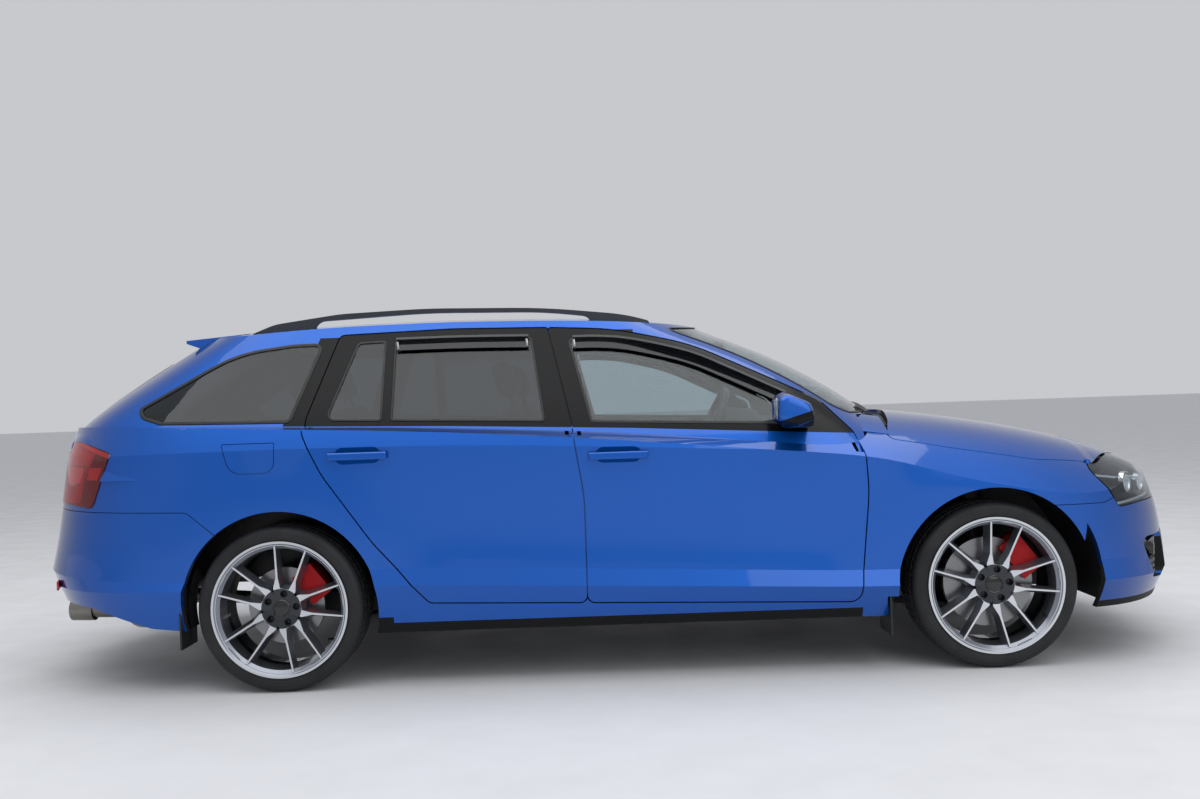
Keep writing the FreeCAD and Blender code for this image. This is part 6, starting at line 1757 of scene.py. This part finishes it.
@dataclass
class Seats:
    """Front and rear seats: padded covers on plastic bases, with headrests on steel stays."""

    lean_deg: float = -16.0
    front_hinge: Triple = (-0.160, 0.365, 0.500)
    front_cushion_x: float = 0.0
    rear_hinge: Triple = (-1.010, 0.0, 0.520)
    rear_headrest_y: float = 0.38
    stay_places: tuple[Triple, ...] = ((-0.060, -0.06, 0.560), (-0.060, 0.06, 0.560))
    base_half: float = 0.195

    front_cushion: ClassVar[Pad] = Pad("front_cushion", (
        ((-0.150, -0.160, -0.132), (0.325, 0.160, -0.024)),
        ((-0.150, 0.140, -0.132), (0.300, 0.236, -0.006)),
        ((-0.150, -0.236, -0.132), (0.300, -0.140, -0.006))))
    front_back: ClassVar[Pad] = Pad("front_back", (
        ((-0.114, -0.165, -0.062), (-0.026, 0.165, 0.585)),
        ((-0.114, 0.145, -0.062), (-0.010, 0.236, 0.430)),
        ((-0.114, -0.236, -0.062), (-0.010, -0.145, 0.430)),
        ((-0.114, -0.200, 0.400), (-0.030, 0.200, 0.585))))
    headrest: ClassVar[Pad] = Pad("headrest", (((-0.098, -0.125, 0.622), (-0.022, 0.125, 0.770)),),
                                  0.026, 0.010, 0.008)
    rear_cushion: ClassVar[Pad] = Pad("rear_cushion", (
        ((0.010, -0.572, -0.135), (0.490, -0.190, -0.012)),
        ((0.010, -0.200, -0.135), (0.480, 0.200, -0.022)),
        ((0.010, 0.190, -0.135), (0.490, 0.572, -0.012))))
    rear_back: ClassVar[Pad] = Pad("rear_back", (
        ((-0.114, -0.572, -0.062), (-0.012, -0.190, 0.585)),
        ((-0.114, -0.200, -0.062), (-0.020, 0.200, 0.560)),
        ((-0.114, 0.190, -0.062), (-0.012, 0.572, 0.585))))
    stay_outline: ClassVar[Outline] = ((0.0, 0.0), (0.006, 0.0), (0.006, 0.090), (0.0, 0.090))

    def build(self) -> None:
        """Makes the pads, sets them at each place and adds bases and stays."""
        cushion, back, rest = self.front_cushion.cover(), self.front_back.cover(), self.headrest.cover()
        rear_cushion, rear_back = self.rear_cushion.cover(), self.rear_back.cover()
        for side in Side:
            x, y, z = self.front_hinge
            place = self.at((x, y * side.value, z), self.lean_deg)
            self.set_pad(f"front_cushion_{side.label}", cushion,
                         self.at((self.front_cushion_x, y * side.value, z)), "front_seats")
            self.set_pad(f"front_back_{side.label}", back, place, "front_seats")
            self.set_pad(f"front_headrest_{side.label}", rest, place, "front_seats")
            self.stays(f"front_stays_{side.label}", place)
            x, _, z = self.rear_hinge
            place = self.at((x, self.rear_headrest_y * side.value, z), self.lean_deg)
            self.set_pad(f"rear_headrest_{side.label}", rest, place, "rear_seat")
            self.stays(f"rear_stays_{side.label}", place)
        self.set_pad("rear_cushion", rear_cushion, self.at(self.rear_hinge), "rear_seat")
        self.set_pad("rear_back", rear_back, self.at(self.rear_hinge, self.lean_deg), "rear_seat")
        self.bases()

    def at(self, place: Triple, lean_deg: float = 0.0) -> Matrix:
        """Gives the placing of a seat part on its hinge."""
        return Matrix.Translation(place) @ Matrix.Rotation(math.radians(lean_deg), 4, "Y")

    def set_pad(self, name: str, cover: Mesh, place: Matrix, node: str) -> None:
        """Sets one padded cover in the car.

        Args:
            name: Name of the piece.
            cover: Its mesh about the seat's hinge.
            place: Where the hinge goes.
            node: CAD node that it stands for.
        """
        mesh = bmesh.new()
        mesh.from_mesh(cover)
        bmesh.ops.transform(mesh, matrix=place, verts=mesh.verts[:])
        piece = place_mesh(name, mesh, SEAT_CLOTH, "body", 80.0)
        smooth = piece.modifiers.new("smooth", "SUBSURF")
        smooth.levels = smooth.render_levels = 1
        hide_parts(node)

    def stays(self, name: str, place: Matrix) -> None:
        """Makes a headrest's two steel stays.

        Args:
            name: Name of the piece.
            place: Where the seat's hinge goes.
        """
        mesh = bmesh.new()
        for foot in self.stay_places:
            turned(mesh, self.stay_outline, place @ Matrix.Translation(foot), 16)
        place_mesh(name, mesh, BOLT_BLACK, "body")

    def bases(self) -> None:
        """Makes the plastic bases that carry the cushions."""
        mesh = bmesh.new()
        for side in Side:
            y = self.front_hinge[1] * side.value
            block(mesh, (-0.140, y - self.base_half, 0.266), (0.290, y + self.base_half, 0.372), 0.012, 3)
        place_mesh("front_seat_bases", mesh, BLACK_PLASTIC, "body")
        mesh = bmesh.new()
        block(mesh, (-1.000, -0.560, 0.372), (-0.540, 0.560, 0.392), 0.006, 2)
        place_mesh("rear_seat_base", mesh, BLACK_PLASTIC, "body")


@dataclass
class Cabin:
    """Dashboard fittings, steering wheel pad, levers, door trims and the inner mirror."""

    wheel_centre: Triple = (0.430, -0.365, 0.905)
    wheel_tilt_deg: float = 24.0
    hood_probe: Triple = (0.52, -0.365, 1.6)
    hood_x: float = 0.560
    hood_sink: float = 0.030
    hood_aim: Triple = (-1.0, 0.0, 0.18)
    screen_middle: float = 0.86
    vent_places: tuple[float, ...] = (-0.585, -0.195, 0.195, 0.585)
    vent_probe: float = 0.865
    vent_half: Pair = (0.052, 0.044)
    vent_heights: Pair = (0.828, 0.902)
    slat_count: int = 4
    slat_foot: float = 0.842
    slat_apart: float = 0.015
    slat_half: float = 0.002
    gear_probe: Triple = (0.190, 0.0, 1.2)
    brake_probe: Triple = (-0.020, 0.055, 1.2)
    brake_shift: Triple = (0.06, 0.0, -0.006)
    brake_aim: Triple = (-1.0, 0.0, 0.22)
    mirror_height: float = 1.285
    front_door_middle: float = 0.33
    rear_door_middle: float = -0.50
    armrest_height: float = 0.70
    speaker_place: Pair = (0.10, 0.44)

    hood_outline: ClassVar[Outline] = (
        (0.0, 0.09), (0.105, 0.09), (0.118, 0.080), (0.122, 0.0), (0.122, -0.06), (0.0, -0.06))
    pad_outline: ClassVar[Outline] = (
        (0.0, 0.028), (0.030, 0.026), (0.058, 0.017), (0.066, 0.006), (0.067, -0.012), (0.0, -0.012))
    gear_outline: ClassVar[Outline] = (
        (0.052, 0.0), (0.046, 0.010), (0.020, 0.045), (0.010, 0.062), (0.009, 0.105), (0.020, 0.118),
        (0.024, 0.136), (0.017, 0.150), (0.0, 0.154))
    brake_outline: ClassVar[Outline] = (
        (0.0, 0.0), (0.012, 0.0), (0.012, 0.150), (0.017, 0.165), (0.017, 0.240), (0.010, 0.250),
        (0.0, 0.252))
    speaker_outline: ClassVar[Outline] = (
        (0.0, 0.004), (0.060, 0.004), (0.066, 0.010), (0.078, 0.010), (0.084, 0.0))

    def build(self) -> None:
        """Makes the cabin's small pieces."""
        self.board = Surface("dashboard")
        self.instrument_hood()
        self.screen()
        self.vents()
        self.wheel_pad()
        self.levers()
        self.inner_mirror()
        for side in Side:
            for end in End:
                self.door_trim(end, side)

    def instrument_hood(self) -> None:
        """Makes the hood over the instruments."""
        mesh = bmesh.new()
        top = self.board.hit(self.hood_probe, DOWN).z - self.hood_sink
        turned(mesh, self.hood_outline, towards((self.hood_x, self.hood_probe[1], top), self.hood_aim), 40)
        place_mesh("instrument_hood", mesh, DASH_SKIN, "body")

    def screen(self) -> None:
        """Makes the middle screen in its frame."""
        surround, glass = bmesh.new(), bmesh.new()
        x = self.board.hit((0.0, 0.0, self.screen_middle), FORWARD).x
        block(surround, (x - 0.006, -0.125, 0.790), (x + 0.012, 0.125, 0.925), 0.004, 3)
        block(glass, (x - 0.008, -0.112, 0.802), (x - 0.004, 0.112, 0.913), 0.0015, 2)
        place_mesh("screen_frame", surround, BLACK_PLASTIC, "body")
        place_mesh("screen_glass", glass, GLOSS_BLACK, "body")

    def vents(self) -> None:
        """Makes the air vents with their slats."""
        mesh = bmesh.new()
        half, slat = self.vent_half
        low, high = self.vent_heights
        for y in self.vent_places:
            x = self.board.hit((0.0, y, self.vent_probe), FORWARD).x
            block(mesh, (x - 0.004, y - half, low), (x + 0.010, y + half, high), 0.003, 2)
            for number in range(self.slat_count):
                z = self.slat_foot + self.slat_apart * number
                block(mesh, (x - 0.009, y - slat, z - self.slat_half), (x, y + slat, z + self.slat_half),
                      0.0008, 1)
        place_mesh("air_vents", mesh, GLOSS_BLACK, "body")

    def wheel_pad(self) -> None:
        """Makes the soft pad in the middle of the steering wheel."""
        mesh = bmesh.new()
        tilt = Matrix.Rotation(math.radians(self.wheel_tilt_deg - 90.0), 4, "Y")
        turned(mesh, self.pad_outline, Matrix.Translation(self.wheel_centre) @ tilt, 40)
        place_mesh("steering_wheel_pad", mesh, DASH_SKIN, "steering_wheel")

    def levers(self) -> None:
        """Makes the gear lever with its gaiter and the parking brake lever."""
        mesh = bmesh.new()
        turned(mesh, self.gear_outline, Matrix.Translation(self.board.hit(self.gear_probe, DOWN)), 32)
        place_mesh("gear_lever", mesh, WHEEL_LEATHER, "body")
        mesh = bmesh.new()
        at = self.board.hit(self.brake_probe, DOWN) + Vector(self.brake_shift)
        turned(mesh, self.brake_outline, towards(at, self.brake_aim), 24)
        place_mesh("parking_brake_lever", mesh, WHEEL_LEATHER, "body")

    def inner_mirror(self) -> None:
        """Hangs the inner mirror from the windscreen."""
        x = Surface("windscreen").hit((0.0, 0.0, self.mirror_height), FORWARD).x
        mesh = bmesh.new()
        block(mesh, (x - 0.075, -0.125, 1.225), (x - 0.045, 0.125, 1.285), 0.012, 4)
        block(mesh, (x - 0.050, -0.014, 1.255), (x - 0.006, 0.014, 1.295), 0.005, 2)
        place_mesh("inner_mirror", mesh, BLACK_PLASTIC, "body")
        glass = bmesh.new()
        block(glass, (x - 0.077, -0.116, 1.232), (x - 0.0745, 0.116, 1.278), 0.001, 1)
        place_mesh("inner_mirror_glass", glass, SILVERED, "body")

    def door_trim(self, end: End, side: Side) -> None:
        """Sets an armrest, a pull and a speaker ring on a door's cabin side.

        Args:
            end: Front or rear door.
            side: Side of the car.
        """
        door = Surface(f"door_{end.value}_{side.label}")
        outwards, inwards = (0.0, side.value, 0.0), (0.0, -side.value, 0.0)
        x = self.front_door_middle if end is End.FRONT else self.rear_door_middle
        wall = door.hit((x, 0.0, self.armrest_height), outwards).y
        mesh = bmesh.new()
        lower, upper = sorted((wall - side.value * 0.052, wall + side.value * 0.004))
        block(mesh, (x - 0.24, lower, 0.690), (x + 0.20, upper, 0.742), 0.016, 4)
        lower, upper = sorted((wall - side.value * 0.034, wall + side.value * 0.002))
        block(mesh, (x + 0.225, lower, 0.760), (x + 0.315, upper, 0.785), 0.008, 3)
        speaker = door.hit((x + self.speaker_place[0], 0.0, self.speaker_place[1]), outwards)
        turned(mesh, self.speaker_outline, towards(speaker, inwards), 40)
        label = f"{end.value}_{side.label}"
        place_mesh(f"door_trim_{label}", mesh, DASH_SKIN, f"{end.value}_door_{side.label}")


@dataclass
class EngineBay:
    """Ribbed cover with its filler cap on the engine block."""

    half_width: float = 0.19
    margin: float = 0.06
    height: float = 0.022
    rib_places: tuple[float, ...] = (-0.11, -0.04, 0.04, 0.11)
    rib_half: float = 0.012
    rib_margins: Pair = (0.09, 0.10)
    rib_heights: Pair = (0.020, 0.026)
    filler_place: Triple = (-0.095, 0.14, 0.020)

    filler_outline: ClassVar[Outline] = ((0.0, 0.020), (0.020, 0.020), (0.024, 0.016), (0.024, 0.0))

    def build(self) -> None:
        """Makes the engine's cover."""
        low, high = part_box("engine_block")
        mesh, top = bmesh.new(), high[2]
        block(mesh, (low[0] + self.margin, -self.half_width, top - 0.004),
              (high[0] - self.margin, self.half_width, top + self.height), 0.012, 3)
        for y in self.rib_places:
            block(mesh, (low[0] + self.rib_margins[0], y - self.rib_half, top + self.rib_heights[0]),
                  (high[0] - self.rib_margins[1], y + self.rib_half, top + self.rib_heights[1]), 0.003, 2)
        x, y, z = self.filler_place
        turned(mesh, self.filler_outline, Matrix.Translation((high[0] + x, y, top + z)), 24)
        place_mesh("engine_cover", mesh, BLACK_PLASTIC, "body")


@dataclass
class Studio:
    """Plain floor, soft lights and the camera at the photograph's viewing angle."""

    eye: Triple = (-0.0185, -5.15, 1.056)
    roll_deg: float = 1.95
    lens_mm: float = 34.3
    sensor_mm: float = 36.0
    floor_size: float = 160.0
    sky_colour: str = "#e9ebf0"
    sky_strength: float = 0.7

    # Soft lights as (name, place, point looked at, size, power)
    softboxes: ClassVar[tuple[tuple[str, Triple, Triple, float, float], ...]] = (
        ("overhead_softbox", (0.0, -1.0, 6.5), (0.0, 0.0, 0.5), 9.0, 440.0),
        ("front_softbox", (5.0, -9.0, 5.0), (0.0, 0.0, 0.7), 7.0, 200.0))

    def build(self) -> None:
        """Makes the floor, the sky, the lights and the camera."""
        self.floor()
        self.sky()
        self.lights()
        self.camera()

    def floor(self) -> None:
        """Lays a pale matt floor under the tyres."""
        mesh = bmesh.new()
        bmesh.ops.create_grid(mesh, x_segments=1, y_segments=1, size=self.floor_size / 2)
        data = bpy.data.meshes.new("studio_floor")
        mesh.to_mesh(data)
        mesh.free()
        data.materials.append(FLOOR_PAINT.material())
        floor = bpy.data.objects.new("studio_floor", data)
        bpy.context.scene.collection.objects.link(floor)

    def sky(self) -> None:
        """Gives the surroundings an even pale light."""
        world = bpy.data.worlds.new("studio_sky")
        world.use_nodes = True
        back = world.node_tree.nodes["Background"]
        back.inputs["Color"].default_value = linear(self.sky_colour)
        back.inputs["Strength"].default_value = self.sky_strength
        bpy.context.scene.world = world
        bpy.context.scene.view_settings.view_transform = "Standard"

    def lights(self) -> None:
        """Hangs one broad soft light overhead and a weaker one ahead of the car, behind the camera."""
        for name, place, aim, size, power in self.softboxes:
            light = bpy.data.lights.new(name, "AREA")
            light.energy = power
            light.size = size
            lamp = bpy.data.objects.new(name, light)
            lamp.location = place
            lamp.rotation_euler = (Vector(aim) - Vector(place)).to_track_quat("-Z", "Y").to_euler()
            bpy.context.scene.collection.objects.link(lamp)

    def camera(self) -> None:
        """Sets the camera level with the door tops, rolled as the photograph was."""
        data = bpy.data.cameras.new("camera")
        data.lens = self.lens_mm
        data.sensor_width = self.sensor_mm
        camera = bpy.data.objects.new("camera", data)
        roll = Matrix.Rotation(math.radians(self.roll_deg), 4, "Y")
        upright = Matrix.Rotation(math.radians(90.0), 4, "X")
        camera.matrix_world = Matrix.Translation(self.eye) @ (roll @ upright)
        bpy.context.scene.collection.objects.link(camera)
        bpy.context.scene.camera = camera


def main() -> None:
    logging.basicConfig(level=logging.INFO, format="%(name)s %(message)s")
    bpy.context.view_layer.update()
    for node, finish in PLAIN_DRESS.items():
        dress(node, finish)
    wheels = [Wheel(end, side) for side in Side for end in End]
    for part in (*wheels, Windows(), FrontLamps(), RearLamps(), FrontTrim(), BonnetCorners(), RearTrim(),
                 Mirrors(), Seats(), Cabin(), EngineBay(), Studio()):
        log.info("building %s", type(part).__name__)
        part.build()


if __name__ == "__main__":
    main()
